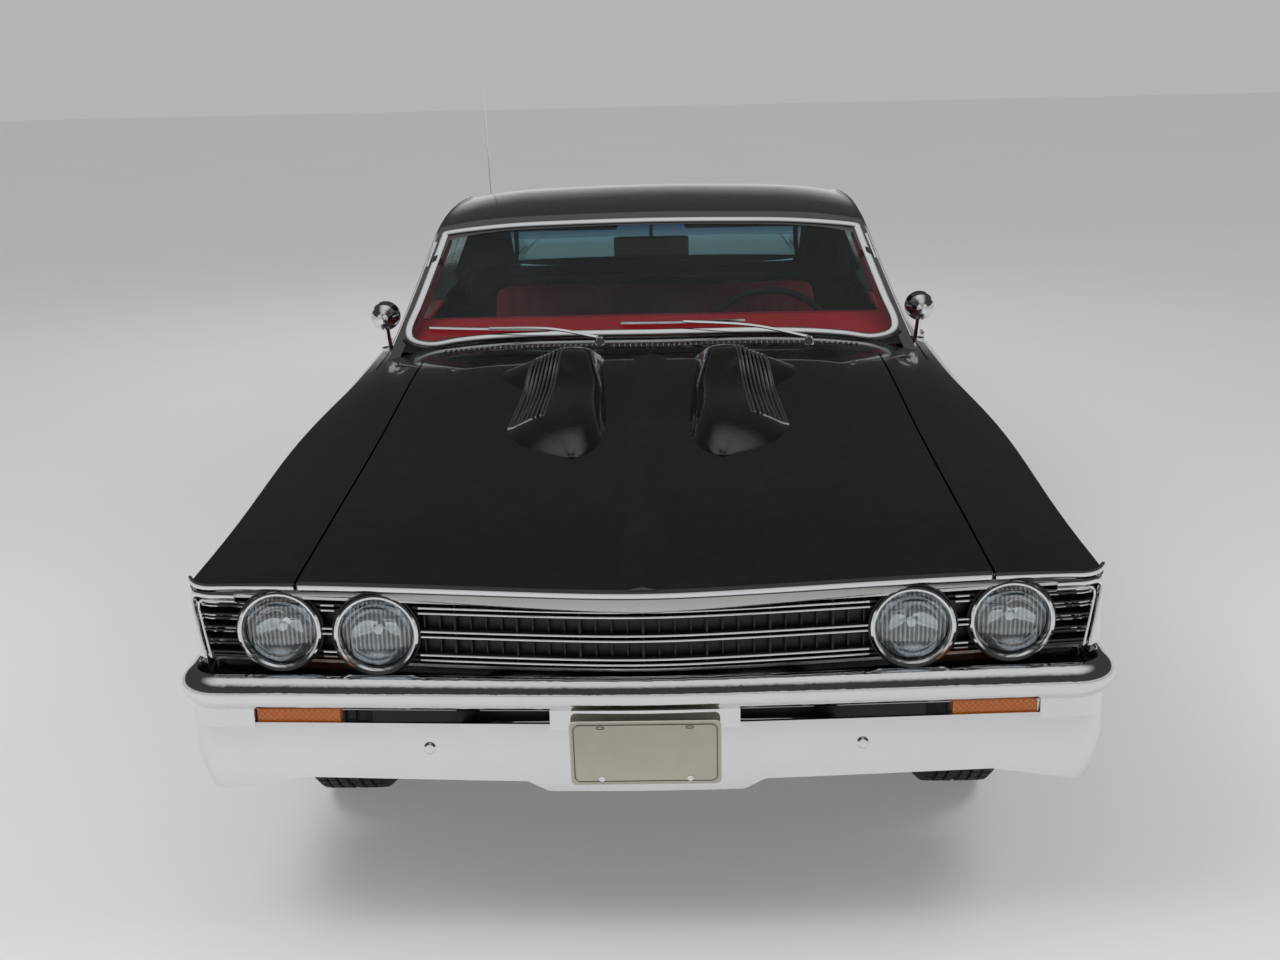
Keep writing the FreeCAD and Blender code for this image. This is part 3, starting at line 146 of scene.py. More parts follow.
def glass_y(x: float, z: float) -> float:
    """Return how far back the windshield's surface lies.

    Args:
        x: place across the car.
        z: height.

    Returns:
        The surface's place along Y.
    """
    share = (z - SHIELD_CORNER.z) / (SHIELD_TOP.z - SHIELD_CORNER.z)
    corner_y = SHIELD_CORNER.y + (SHIELD_TOP.y - SHIELD_CORNER.y) * share
    bow = SHIELD_BOW_LOW + (SHIELD_BOW_HIGH - SHIELD_BOW_LOW) * share
    return corner_y - bow * (1 - (x / SHIELD_CORNER.x) ** 2)


def roof_side_x(y: float, z: float) -> float:
    """Return the outer face of the pillars and the side glass surface.

    Args:
        y: place along the car.
        z: height.

    Returns:
        Half the width there.
    """
    drip_z = along(ROOF_Z, y) - ROOF_CROWN
    share = (drip_z - z) / (drip_z - GLASS_FOOT_Z)
    return along(DRIP_X, y) + (along(GLASS_FOOT_X, y) - along(DRIP_X, y)) * share


def nose_line(inset: float, reach: float, steps: int = 40) -> List[Vector]:
    """Plan line round the nose.

    Args:
        inset: how far inside the nose's outline.
        reach: how far back along the side the line runs past the corner.
        steps: points on the front edge.

    Returns:
        Points at z = 0 from the right side round to the left.
    """
    half = NOSE_HALF - inset
    radius = NOSE_CORNER - inset
    straight = half - radius
    front = []
    for i in range(steps + 1):
        x = -straight + 2 * straight * i / steps
        front.append(at(x, nose_y(x) + inset, 0))
    centre_y = front[-1].y + radius
    left = [at(straight + radius * sin(a), centre_y - radius * cos(a), 0)
            for a in (radians(15 * i) for i in range(1, 7))]
    if reach > 0:
        left.append(at(half, centre_y + reach, 0))
    right = [at(-p.x, p.y, 0) for p in reversed(left)]
    return right + front + left


def curve_through(points: Sequence[Vector], steps: int = 8) -> List[Vector]:
    """Smooth a run of points.

    Args:
        points: the places to pass through.
        steps: pieces between two of them.

    Returns:
        Points on a Catmull-Rom curve.
    """
    ends = [points[0] * 2 - points[1]] + list(points) + [points[-1] * 2 - points[-2]]
    out = []
    for a, b, c, d in zip(ends, ends[1:], ends[2:], ends[3:]):
        for i in range(steps):
            t = i / steps
            out.append(0.5 * (2 * b + (c - a) * t + (2 * a - 5 * b + 4 * c - d) * t * t
                              + (3 * b - a - 3 * c + d) * t ** 3))
    return out + [points[-1].copy()]


class Skin:
    """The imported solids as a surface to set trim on."""

    def __init__(self, *nodes: str) -> None:
        """Gather the faces of the named nodes.

        Args:
            nodes: names of CAD nodes.
        """
        verts: List[Vector] = []
        faces: List[List[int]] = []
        for node in nodes:
            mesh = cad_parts[node].data
            base = len(verts)
            verts += [v.co / MM for v in mesh.vertices]
            faces += [[base + i for i in p.vertices] for p in mesh.polygons]
        self.tree = BVHTree.FromPolygons(verts, faces)
        self.low = Vector([min(v[i] for v in verts) for i in range(3)])
        self.high = Vector([max(v[i] for v in verts) for i in range(3)])

    def hit(self, start: Vector, way: Vector) -> Optional[Vector]:
        """Return where a ray first meets the surface, if it does."""
        return self.tree.ray_cast(start, way)[0]

    def top(self, x: float, y: float, lift: float = 0.0) -> Vector:
        """Return the surface point under a place in plan, lifted a little."""
        found = self.hit(at(x, y, 1700), at(0, 0, -1))
        return at(x, y, (found.z if found else body_top(x, y)) + lift)

    def flank(self, side: Side, y: float, z: float, lift: float = 0.0) -> Vector:
        """Return the outermost surface point of one side, lifted a little.

        Args:
            side: which side.
            y: place along the car.
            z: height.
            lift: how far out to go.

        Returns:
            The lifted point.
        """
        found = self.hit(at(side.value * 1200, y, z), at(-side.value, 0, 0))
        x = found.x if found else side.value * 940
        return at(x + side.value * lift, y, z)


# Shader graphs

class Value:
    """A number in a shader graph that takes part in Python expressions."""

    def __init__(self, graph: "Graph", socket: Socket) -> None:
        """Wrap one output socket of a graph."""
        self.graph = graph
        self.socket = socket

    def _math(self, operation: str, *terms: "float | Value") -> "Value":
        """Return one Math node's result for its terms, in order."""
        node = self.graph.node("Math", {"operation": operation}, dict(enumerate(terms)))
        return Value(self.graph, node.outputs[0])

    def __add__(self, other: "float | Value") -> "Value":
        """Return the sum."""
        return self._math("ADD", self, other)

    __radd__ = __add__

    def __sub__(self, other: "float | Value") -> "Value":
        """Return the difference."""
        return self._math("SUBTRACT", self, other)

    def __rsub__(self, other: float) -> "Value":
        """Return the reflected difference."""
        return self._math("SUBTRACT", other, self)

    def __mul__(self, other: "float | Value") -> "Value":
        """Return the product."""
        return self._math("MULTIPLY", self, other)

    __rmul__ = __mul__

    def __pow__(self, other: float) -> "Value":
        """Return the power."""
        return self._math("POWER", self, other)

    def sine(self) -> "Value":
        """Return the sine."""
        return self._math("SINE", self)

    def over(self, edge: float) -> "Value":
        """Return 1 where the value is above an edge and 0 elsewhere."""
        return self._math("GREATER_THAN", self, edge)

    def ramp(self, low: float, high: float, out_low: float = 0.0, out_high: float = 1.0) -> "Value":
        """Return the value carried smoothly from one range to another."""
        node = self.graph.node("MapRange", {"interpolation_type": "SMOOTHSTEP"},
                               {"Value": self, "From Min": low, "From Max": high, "To Min": out_low,
                                "To Max": out_high})
        return Value(self.graph, node.outputs["Result"])


class Graph:
    """A tree of shader nodes."""

    def __init__(self, tree: bpy.types.NodeTree) -> None:
        """Take an emptied tree."""
        self.tree = tree
        self.tree.nodes.clear()

    def node(self, kind: str, settings: Optional[dict] = None, values: Optional[dict] = None) -> bpy.types.Node:
        """Add a node.

        Args:
            kind: Blender's type name, without its ShaderNode.
            settings: properties of the node, with a ramp's stops under "stops".
            values: a number, colour, socket or Value for each socket, by name or place.

        Returns:
            The new node.
        """
        node = self.tree.nodes.new("ShaderNode" + kind)
        for key, setting in (settings or {}).items():
            if key == "stops":
                for place, color in setting[len(node.color_ramp.elements):]:
                    node.color_ramp.elements.new(place)
                for element, (place, color) in zip(node.color_ramp.elements, setting):
                    element.position = place
                    element.color = (*color, 1)
            else:
                setattr(node, key, setting)
        for key, value in (values or {}).items():
            self.feed(node.inputs[key], value)
        return node

    def feed(self, socket: Socket, value: object) -> None:
        """Link a socket to another, or set its number or colour.

        Args:
            socket: the input to feed.
            value: a Value, a socket, a number or a colour.
        """
        if isinstance(value, Value):
            self.tree.links.new(value.socket, socket)
        elif isinstance(value, Socket):
            self.tree.links.new(value, socket)
        elif isinstance(value, (tuple, list)) and socket.type == "RGBA":
            socket.default_value = (*value[:3], 1)
        else:
            socket.default_value = value

    def blend(self, mask: Value, low: Color, high: Color) -> Socket:
        """Return a colour between two, by a mask.

        Args:
            mask: 0 for the low colour and 1 for the high one.
            low: one colour.
            high: the other.

        Returns:
            The mixed colour's socket.
        """
        node = self.node("Mix", {"data_type": "RGBA"})
        self.feed(node.inputs["Factor"], mask)
        self.feed(node.inputs[6], low)
        self.feed(node.inputs[7], high)
        return node.outputs[2]

    def seen(self) -> Value:
        """Return 1 for rays that look at a thing straight, mirrored or through glass.

        Returns:
            The mask.
        """
        rays = self.node("LightPath")
        seen = Value(self, rays.outputs["Is Camera Ray"]) + Value(self, rays.outputs["Is Glossy Ray"])
        return (seen + Value(self, rays.outputs["Is Transmission Ray"])).over(0.5)


class Surface(Graph):
    """One material's nodes, around a Principled shader."""

    def __init__(self, name: str) -> None:
        """Start an empty material with its shader and output.

        Args:
            name: the material's name.
        """
        self.material = bpy.data.materials.new(name)
        self.material.use_nodes = True
        super().__init__(self.material.node_tree)
        self.shader = self.node("BsdfPrincipled")
        self.output = self.node("OutputMaterial", {}, {"Surface": self.shader.outputs[0]})
        self.place = self.node("TexCoord").outputs["Object"]

    def set(self, **values: object) -> None:
        """Set the shader's sockets, with spaces written as underscores."""
        for key, value in values.items():
            self.feed(self.shader.inputs[key.replace("_", " ")], value)

    def scaled(self, x: float, y: float, z: float) -> Socket:
        """Return the object place, stretched along its axes."""
        return self.node("Mapping", {}, {"Vector": self.place, "Scale": (x, y, z)}).outputs[0]

    def noise(self, scale: float, detail: float = 3.0, where: Optional[Socket] = None) -> Value:
        """Return a cloudy value from 0 to 1."""
        node = self.node("TexNoise", {}, {"Vector": where or self.place, "Scale": scale, "Detail": detail})
        return Value(self, node.outputs[0])

    def cells(self, scale: float) -> Value:
        """Return the distance to the nearest point of a random scatter."""
        node = self.node("TexVoronoi", {"feature": "F1"}, {"Vector": self.place, "Scale": scale})
        return Value(self, node.outputs[0])

    def axis(self, name: str) -> Value:
        """Return the object place along X, Y or Z, in metres."""
        return Value(self, self.node("SeparateXYZ", {}, {0: self.place}).outputs[name])

    def facing_up(self) -> Value:
        """Return how far the surface faces up."""
        normal = self.node("NewGeometry").outputs["Normal"]
        return Value(self, self.node("SeparateXYZ", {}, {0: normal}).outputs["Z"])

    def grazing(self) -> Value:
        """Return the share that glass mirrors, from straight on to a grazing look."""
        facing = Value(self, self.node("LayerWeight", {}, {"Blend": 0.5}).outputs["Facing"])
        return facing ** 5 * 0.9 + 0.04

    def bump(self, height: Value, depth: float, strength: float = 1.0) -> None:
        """Feed the shader's normal from a height in metres of depth."""
        node = self.node("Bump", {}, {"Height": height, "Distance": depth, "Strength": strength})
        self.feed(self.shader.inputs["Normal"], node.outputs[0])


@dataclass(frozen=True)
class Finish:
    """A named finish that makes its material once, with the record's slot that it usually stands for."""

    name: str
    slot: Optional[str] = field(default=None, kw_only=True)

    def material(self) -> bpy.types.Material:
        """Return the material, made at its first use.

        Returns:
            The one material of this finish.
        """
        found = bpy.data.materials.get(self.name)
        if found:
            return found
        graph = Surface(self.name)
        self.paint(graph)
        return graph.material

    def paint(self, graph: Surface) -> None:
        """Lay the finish's nodes."""
        raise NotImplementedError


@dataclass(frozen=True)
class Enamel(Finish):
    """Polished enamel under clear lacquer."""

    color: Color = (0.0022, 0.0024, 0.003)
    gloss: float = 0.035

    def paint(self, graph: Surface) -> None:
        """Lay dark pigment, faint orange peel and a trace of dust on level faces.

        Args:
            graph: the new material's nodes.
        """
        peel = graph.noise(420, 2)
        dust = graph.noise(26, 6) * graph.facing_up().ramp(0.55, 1.0)
        dusty = tuple(c + 0.0025 for c in self.color)
        graph.set(Base_Color=graph.blend(dust.ramp(0.35, 0.8), self.color, dusty),
                  Roughness=dust.ramp(0.2, 0.9, 0.16, 0.24), IOR=1.5, Coat_Weight=1.0, Coat_Roughness=self.gloss,
                  Coat_IOR=1.55)
        graph.bump(peel, 0.00002, 0.25)


@dataclass(frozen=True)
class Plate(Finish):
    """Bright plated metal."""

    color: Color = (0.83, 0.84, 0.85)
    rough: float = 0.045

    def paint(self, graph: Surface) -> None:
        """Lay mirror plate with soft smears and the odd pit.

        Args:
            graph: the new material's nodes.
        """
        smear = graph.noise(9, 5)
        pits = graph.cells(330).ramp(0.03, 0.09)
        graph.set(Base_Color=graph.blend(smear, tuple(c * 0.93 for c in self.color), self.color), Metallic=1.0,
                  Roughness=smear.ramp(0.3, 0.8, self.rough, self.rough + 0.05))
        graph.bump(pits, 0.00003, 0.15)


@dataclass(frozen=True)
class Brushed(Finish):
    """Satin stainless trim, brushed across the car."""

    color: Color = (0.70, 0.70, 0.685)
    rough: float = 0.24

    def paint(self, graph: Surface) -> None:
        """Lay fine scratches along X with a few dull spots.

        Args:
            graph: the new material's nodes.
        """
        lines = graph.noise(60, 4, graph.scaled(0.4, 22, 22))
        dull = graph.noise(14, 4)
        graph.set(Base_Color=graph.blend(dull, tuple(c * 0.9 for c in self.color), self.color), Metallic=1.0,
                  Roughness=lines * 0.12 + dull * 0.08 + (self.rough - 0.1))
        graph.bump(lines, 0.00004, 0.4)


@dataclass(frozen=True)
class SatinBlack(Finish):
    """Satin chassis paint with road dust, or plain dark plastic."""

    color: Color = (0.018, 0.018, 0.019)
    dusty: Color = (0.06, 0.055, 0.048)
    rough: float = 0.46
    dust: float = 0.6

    def paint(self, graph: Surface) -> None:
        """Lay paint, grime in broad patches and a fine grain.

        Args:
            graph: the new material's nodes.
        """
        grime = graph.noise(7, 6).ramp(0.45, 0.75) * self.dust
        grain = graph.noise(900, 2)
        graph.set(Base_Color=graph.blend(grime, self.color, self.dusty), Roughness=grime * 0.25 + self.rough)
        graph.bump(grain, 0.0001, 0.3)


@dataclass(frozen=True)
class Cast(Finish):
    """Cast iron or raw exhaust steel with oxide in its patches."""

    color: Color = (0.10, 0.095, 0.09)
    oxide: Color = (0.13, 0.062, 0.03)
    metal: float = 0.5

    def paint(self, graph: Surface) -> None:
        """Lay rough metal under broad oxide clouds.

        Args:
            graph: the new material's nodes.
        """
        cloud = graph.noise(11, 8).ramp(0.45, 0.72)
        grain = graph.noise(240, 4)
        graph.set(Base_Color=graph.blend(cloud, self.color, self.oxide), Roughness=cloud * 0.3 + 0.42,
                  Metallic=(1 - cloud) * self.metal)
        graph.bump(grain, 0.0004, 0.5)


@dataclass(frozen=True)
class Rubber(Finish):
    """Tyre or seal rubber."""

    color: Color = (0.017, 0.017, 0.018)

    def paint(self, graph: Surface) -> None:
        """Lay matt rubber, paler where dust has worked in.

        Args:
            graph: the new material's nodes.
        """
        worn = graph.noise(34, 7).ramp(0.4, 0.8)
        graph.set(Base_Color=graph.blend(worn, self.color, (0.045, 0.043, 0.04)), Roughness=worn * 0.2 + 0.62)
        graph.bump(graph.noise(1300, 2), 0.00015, 0.4)


@dataclass(frozen=True)
class Vinyl(Finish):
    """Sewn or moulded vinyl with a leather grain."""

    color: Color = (0.26, 0.013, 0.024)
    rough: float = 0.42
    grain: float = 420.0

    def paint(self, graph: Surface) -> None:
        """Lay dye with soft wear and pebbled grain.

        Args:
            graph: the new material's nodes.
        """
        worn = graph.noise(8, 5)
        pebble = graph.cells(self.grain)
        pale, deep = tuple(c * 1.12 for c in self.color), tuple(c * 0.8 for c in self.color)
        graph.set(Base_Color=graph.blend(worn, deep, pale), Roughness=worn * 0.14 + (self.rough - 0.07))
        graph.bump(pebble.ramp(0.0, 0.7), 0.0003, 0.5)


@dataclass(frozen=True)
class Carpet(Finish):
    """Loop-pile floor carpet."""

    color: Color = (0.16, 0.012, 0.018)

    def paint(self, graph: Surface) -> None:
        """Lay tufts with painted shade between them, and their own height.

        Args:
            graph: the new material's nodes.
        """
        tuft = graph.cells(260)
        # The colour darkens to a third towards the edges between tufts: painted shade in the gaps of the pile.
        graph.set(Base_Color=graph.blend(tuft.ramp(0, 0.8), self.color, tuple(c * 0.35 for c in self.color)),
                  Roughness=0.95)
        graph.bump(tuft, 0.002, 0.9)


@dataclass(frozen=True)
class Lens(Finish):
    """Ribbed coloured lamp plastic."""

    color: Color = (0.75, 0.20, 0.01)
    ribs: float = 520.0
    # A faint emission in the lens colour: a painted glow, also on the dial needles that share the amber finish.
    glow: float = 0.06

    def paint(self, graph: Surface) -> None:
        """Lay dyed plastic over fine upright ribs, with painted shade in their hollows, painted light on their
        crests and a faint painted glow.

        Args:
            graph: the new material's nodes.
        """
        ribs = (graph.axis("X") * self.ribs).sine() * (graph.axis("Z") * self.ribs).sine()
        # The colour dims to 0.7 in the ribs' hollows and is full on their crests: painted shade and light of the
        # relief.
        graph.set(Base_Color=graph.blend(ribs.ramp(-1, 1), tuple(c * 0.7 for c in self.color), self.color),
                  Roughness=0.08, Coat_Weight=0.6, IOR=1.49, Emission_Color=(*self.color, 1),
                  Emission_Strength=self.glow)
        graph.bump(ribs, 0.0006, 0.6)


@dataclass(frozen=True)
class Pane(Finish):
    """Window glass with a faint tint."""

    tint: Color = (0.80, 0.86, 0.86)
    band: Color = (0.80, 0.86, 0.86)
    heights: Tuple[float, float] = (1.1, 1.2)
    haze: float = 0.008
    shine: float = 0.4

    def paint(self, graph: Surface) -> None:
        """Mix clear transmission with a mirror by the angle of view, and add a film of dust.

        Args:
            graph: the new material's nodes.
        """
        low = graph.node("BsdfTransparent", {}, {"Color": self.tint})
        high = graph.node("BsdfTransparent", {}, {"Color": self.band})
        clear = graph.node("MixShader", {}, {0: graph.axis("Z").ramp(*self.heights), 1: low.outputs[0],
                                                       2: high.outputs[0]})
        film = graph.noise(5, 5).ramp(0.4, 0.8) * self.haze
        graph.set(Base_Color=(0.9, 0.92, 0.93), Metallic=1.0, Roughness=0.01)
        mix = graph.node("MixShader", {}, {0: graph.grazing() * self.shine + film, 1: clear.outputs[0],
                                                     2: graph.shader.outputs[0]})
        graph.feed(graph.output.inputs["Surface"], mix.outputs[0])


@dataclass(frozen=True)
class LampGlass(Finish):
    """Fluted sealed-beam glass."""

    pitch: float = 700.0

    def paint(self, graph: Surface) -> None:
        """Mix clear glass with bright flutes that catch the light.

        Args:
            graph: the new material's nodes.
        """
        flute = (graph.axis("X") * self.pitch).sine()
        rows = (graph.axis("Z") * (self.pitch * 0.45)).sine()
        clear = graph.node("BsdfTransparent", {}, {"Color": (0.93, 0.95, 0.96)})
        graph.set(Base_Color=(0.85, 0.87, 0.88), Metallic=1.0, Roughness=0.06)
        graph.bump(flute + rows.ramp(-1, 1), 0.0007, 0.6)
        mix = graph.node("MixShader", {}, {0: graph.grazing() + flute.ramp(-0.2, 1.0, 0.04, 0.2),
                                                     1: clear.outputs[0], 2: graph.shader.outputs[0]})
        graph.feed(graph.output.inputs["Surface"], mix.outputs[0])


@dataclass(frozen=True)
class PlateBlank(Finish):
    """Plain painted registration plate."""

    color: Color = (0.72, 0.68, 0.56)

    def paint(self, graph: Surface) -> None:
        """Lay cream paint with faint road film.

        Args:
            graph: the new material's nodes.
        """
        film = graph.noise(24, 6)
        graph.set(Base_Color=graph.blend(film, self.color, tuple(c * 0.88 for c in self.color)),
                  Roughness=film * 0.2 + 0.3, Coat_Weight=0.3)
        graph.bump(graph.noise(300, 2), 0.00005, 0.3)


BLACK = Enamel("gloss_black_enamel", slot="black_paint")
CHROME = Plate("chrome_plate", slot="chrome")
MIRROR = Plate("mirror_glass", (0.75, 0.78, 0.80), 0.01, slot="chrome")
STAINLESS = Brushed("satin_stainless", slot="stainless")
BRIGHT = Brushed("bright_anodised", (0.80, 0.80, 0.79), 0.16, slot="stainless")
FRAME_BLACK = SatinBlack("chassis_black", slot="chassis_black")
DARK = SatinBlack("dark_plastic", (0.012, 0.012, 0.013), (0.03, 0.03, 0.03), 0.4, 0.3, slot="black_plastic")
IRON = Cast("cast_iron", slot="steel")
PIPE = Cast("exhaust_steel", (0.42, 0.40, 0.38), (0.22, 0.13, 0.08), 0.95, slot="steel")
ENGINE = Cast("engine_enamel", (0.42, 0.07, 0.02), (0.16, 0.05, 0.03), 0.1)
TYRE = Rubber("tyre_rubber", slot="tyre")
SEAT = Vinyl("maroon_vinyl", slot="seat_vinyl")
# The dash pad's red is raised well above the seat vinyl's: painted light on the dash under the windshield, shared
# by the door top rails.
LIT_PADDED_RED = Vinyl("red_dash_pad", (0.56, 0.012, 0.020), 0.4, 700.0, slot="dash_red")
HEADLINER = Vinyl("black_headliner", (0.02, 0.02, 0.021), 0.6, 500.0, slot="black_plastic")
CARPET = Carpet("red_carpet", slot="dash_red")
AMBER = Lens("amber_lens", (0.80, 0.19, 0.006), slot="amber")
RED_LENS = Lens("red_lens", (0.33, 0.006, 0.006), 700.0)
CLEAR = Pane("clear_glass")
BLUE_GLASS = Pane("tinted_glass", (0.52, 0.70, 0.72), (0.13, 0.24, 0.42), (1.03, 1.17))
LAMP = LampGlass("fluted_lamp_glass", slot="lamp_glass")
CREAM = PlateBlank("cream_plate", slot="stainless")
WHEEL_SILVER = Plate("wheel_silver", (0.52, 0.53, 0.54), 0.28, slot="steel")


# Mesh making

class Piece:
    """A mesh in millimetres on its way to become one piece of the car."""

    def __init__(self, name: str) -> None:
        """Start an empty mesh."""
        self.name = name
        self.bm = bmesh.new()

    def skin(self, rings: Sequence[Sequence[Vector]], closed: bool = True, capped: bool = True,
             looped: bool = False) -> "Piece":
        """Join rings of points with faces.

        Args:
            rings: equal rings of points, in order.
            closed: whether each ring closes on itself.
            capped: whether the first and last ring are filled.
            looped: whether the last ring joins the first.

        Returns:
            This piece.
        """
        grid = [[self.bm.verts.new(p * MM) for p in ring] for ring in rings]
        count = len(grid[0])
        pairs = list(zip(grid, grid[1:])) + ([(grid[-1], grid[0])] if looped else [])
        for a, b in pairs:
            for i in range(count if closed else count - 1):
                j = (i + 1) % count
                self.bm.faces.new((a[i], a[j], b[j], b[i]))
        if closed and capped and not looped:
            self.bm.faces.new(grid[0])
            self.bm.faces.new(grid[-1])
        return self

    def sweep(self, path: Sequence[Vector], profile: Line, up: "Vector | Callable[[Vector], Vector]",
              looped: bool = False) -> "Piece":
        """Carry a closed profile along a path.

        Args:
            path: points of the run.
            profile: (across, up) points of the section, in order.
            up: the section's up direction, fixed or by place.
            looped: whether the path closes.

        Returns:
            This piece.
        """
        rings = []
        last = len(path) - 1
        for i, point in enumerate(path):
            before = path[i - 1] if i or looped else path[0]
            after = path[(i + 1) % len(path)] if i < last or looped else path[last]
            way = (after - before).normalized()
            upward = up(point) if callable(up) else up
            across = way.cross(upward).normalized()
            rise = across.cross(way)
            rings.append([point + across * a + rise * b for a, b in profile])
        return self.skin(rings, looped=looped)

    def lathe(self, profile: Line, centre: Vector, axis: Vector, steps: int = 48) -> "Piece":
        """Turn a profile of (along the axis, radius) points about an axis.

        Args:
            profile: points of the half section.
            centre: where the axis starts.
            axis: the axis's way.
            steps: sides of the round.

        Returns:
            This piece.
        """
        axis = axis.normalized()
        side = axis.orthogonal().normalized()
        rings = [[centre + axis * d + out * max(r, 0.01) for d, r in profile]
                 for out in wheel_of(steps, side, axis.cross(side))]
        return self.skin(rings, closed=False, looped=True)

    def slab(self, low: Sequence[float], high: Sequence[float], turn: Optional[Matrix] = None,
             centre: Optional[Vector] = None) -> "Piece":
        """Add a box between two corners, turned about a centre if one is given.

        Args:
            low: one corner.
            high: the opposite corner.
            turn: a rotation.
            centre: the point it turns about.

        Returns:
            This piece.
        """
        corners = [at(x, y, z) for x in (low[0], high[0]) for y in (low[1], high[1]) for z in (low[2], high[2])]
        if turn is not None:
            corners = [centre + turn @ (c - centre) for c in corners]
        v = [self.bm.verts.new(c * MM) for c in corners]
        for quad in ((0, 1, 3, 2), (4, 6, 7, 5), (0, 4, 5, 1), (2, 3, 7, 6), (0, 2, 6, 4), (1, 5, 7, 3)):
            self.bm.faces.new([v[i] for i in quad])
        return self

    def sheet(self, rows: Sequence[Sequence[Vector]], depth: Vector) -> "Piece":
        """Add a sheet over rows of points, with its other face moved by a depth."""
        return self.skin([list(row) + [p + depth for p in reversed(row)] for row in rows])

    def swell(self, voxel: float, cap: float) -> "Piece":
        """Fill the form like a stuffed pad, by a cloth simulation.

        Args:
            voxel: size of the simulated mesh's cells, in millimetres.
            cap: the most that a point may move, in millimetres.

        Returns:
            This piece, with the swollen mesh.
        """
        bmesh.ops.recalc_face_normals(self.bm, faces=self.bm.faces[:])
        mesh = bpy.data.meshes.new(self.name + "_form")
        self.bm.to_mesh(mesh)
        form = bpy.data.objects.new(self.name + "_form", mesh)
        bpy.context.scene.collection.objects.link(form)
        cells = form.modifiers.new("cells", "REMESH")
        cells.mode = "VOXEL"
        cells.voxel_size = voxel * MM
        graph = bpy.context.evaluated_depsgraph_get()
        fine = bpy.data.meshes.new_from_object(form.evaluated_get(graph))
        form.modifiers.clear()
        form.data = fine
        cloth = form.modifiers.new("stuffing", "CLOTH")
        cloth.settings.use_pressure = True
        cloth.settings.uniform_pressure_force = 4
        cloth.settings.effector_weights.gravity = 0
        for step in range(1, 15):
            bpy.context.scene.frame_set(step)
        graph = bpy.context.evaluated_depsgraph_get()
        swollen = form.evaluated_get(graph).to_mesh()
        for vert, moved in zip(fine.vertices, swollen.vertices):
            shift = moved.co - vert.co
            if shift.length > cap * MM:
                shift = shift.normalized() * cap * MM
            vert.co += shift
        self.bm.clear()
        self.bm.from_mesh(fine)
        bpy.data.objects.remove(form)
        bpy.context.scene.frame_set(1)
        return self

    def press(self, depth_at: Callable[[Vector, Vector], float]) -> "Piece":
        """Draw points in along their normals, by a depth that depends on place and normal.

        Args:
            depth_at: gives a depth in millimetres for a place and a normal.

        Returns:
            This piece.
        """
        bmesh.ops.recalc_face_normals(self.bm, faces=self.bm.faces[:])
        self.bm.normal_update()
        depths = [depth_at(vert.co / MM, vert.normal) for vert in self.bm.verts]
        for vert, depth in zip(self.bm.verts, depths):
            vert.co -= vert.normal * depth * MM
        return self

    def mirror(self) -> "Piece":
        """Add the mirror image in X of all that is there.

        Returns:
            This piece.
        """
        copy = bmesh.ops.duplicate(self.bm, geom=self.bm.verts[:] + self.bm.edges[:] + self.bm.faces[:])
        verts = [g for g in copy["geom"] if isinstance(g, bmesh.types.BMVert)]
        for vert in verts:
            vert.co.x = -vert.co.x
        return self

    def ready(self, finish: Finish, body: str = CHASSIS, slot: Optional[str] = None, bevel: float = 0.0,
              rounds: int = 0, angle: float = 32.0, replaces: Sequence[str] = ()) -> bpy.types.Object:
        """Turn the mesh into a dressed piece on its body.

        Args:
            finish: what the piece is made of.
            body: the CAD body it rides on.
            slot: the record's material slot it stands for, if not the finish's own. Not used.
            bevel: width of an edge rounding, in millimetres.
            rounds: levels of subdivision.
            angle: edges sharper than this stay sharp.
            replaces: CAD nodes that the piece stands for.

        Returns:
            The Blender object.
        """
        bmesh.ops.remove_doubles(self.bm, verts=self.bm.verts[:], dist=1e-6)
        bmesh.ops.recalc_face_normals(self.bm, faces=self.bm.faces[:])
        mesh = bpy.data.meshes.new(self.name)
        self.bm.to_mesh(mesh)
        self.bm.free()
        for polygon in mesh.polygons:
            polygon.use_smooth = True
        mesh.set_sharp_from_angle(angle=radians(angle))
        piece = bpy.data.objects.new(self.name, mesh)
        bpy.context.scene.collection.objects.link(piece)
        if bevel:
            rounding = piece.modifiers.new("edge", "BEVEL")
            rounding.width = bevel * MM
            rounding.segments = 3
            rounding.limit_method = "ANGLE"
        if rounds:
            soft = piece.modifiers.new("round", "SUBSURF")
            soft.levels = soft.render_levels = rounds
        mesh.materials.append(finish.material())
        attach(piece, body)
        if replaces:
            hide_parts(*replaces)
        LOG.info("piece %s on %s, %d faces of %s", self.name, body, len(mesh.polygons), finish.name)
        return piece


def circle(radius: float, steps: int = 12) -> Line:
    """Return a round section."""
    return [(radius * cos(2 * pi * i / steps), radius * sin(2 * pi * i / steps)) for i in range(steps)]


def wheel_of(count: int, start: Vector, side: Vector) -> List[Vector]:
    """Return ways spaced evenly from one direction round through another."""
    return [start * cos(2 * pi * i / count) + side * sin(2 * pi * i / count) for i in range(count)]


def flipped(points: Sequence[Vector]) -> List[Vector]:
    """Return the points' mirror images in X, in reverse order."""
    return [at(-p.x, p.y, p.z) for p in reversed(points)]


def rounded(width: float, height: float, foot: float = 0.0) -> Line:
    """Return a low domed section that stands on its foot line."""
    return [(-width / 2, -foot), (width / 2, -foot), (width / 2, height * 0.45), (width * 0.3, height * 0.85),
            (0, height), (-width * 0.3, height * 0.85), (-width / 2, height * 0.45)]


UP = at(0, 0, 1)
FORWARD = at(0, -1, 0)
BACKWARD = at(0, 1, 0)
ACROSS = at(1, 0, 0)


# Sub-assemblies

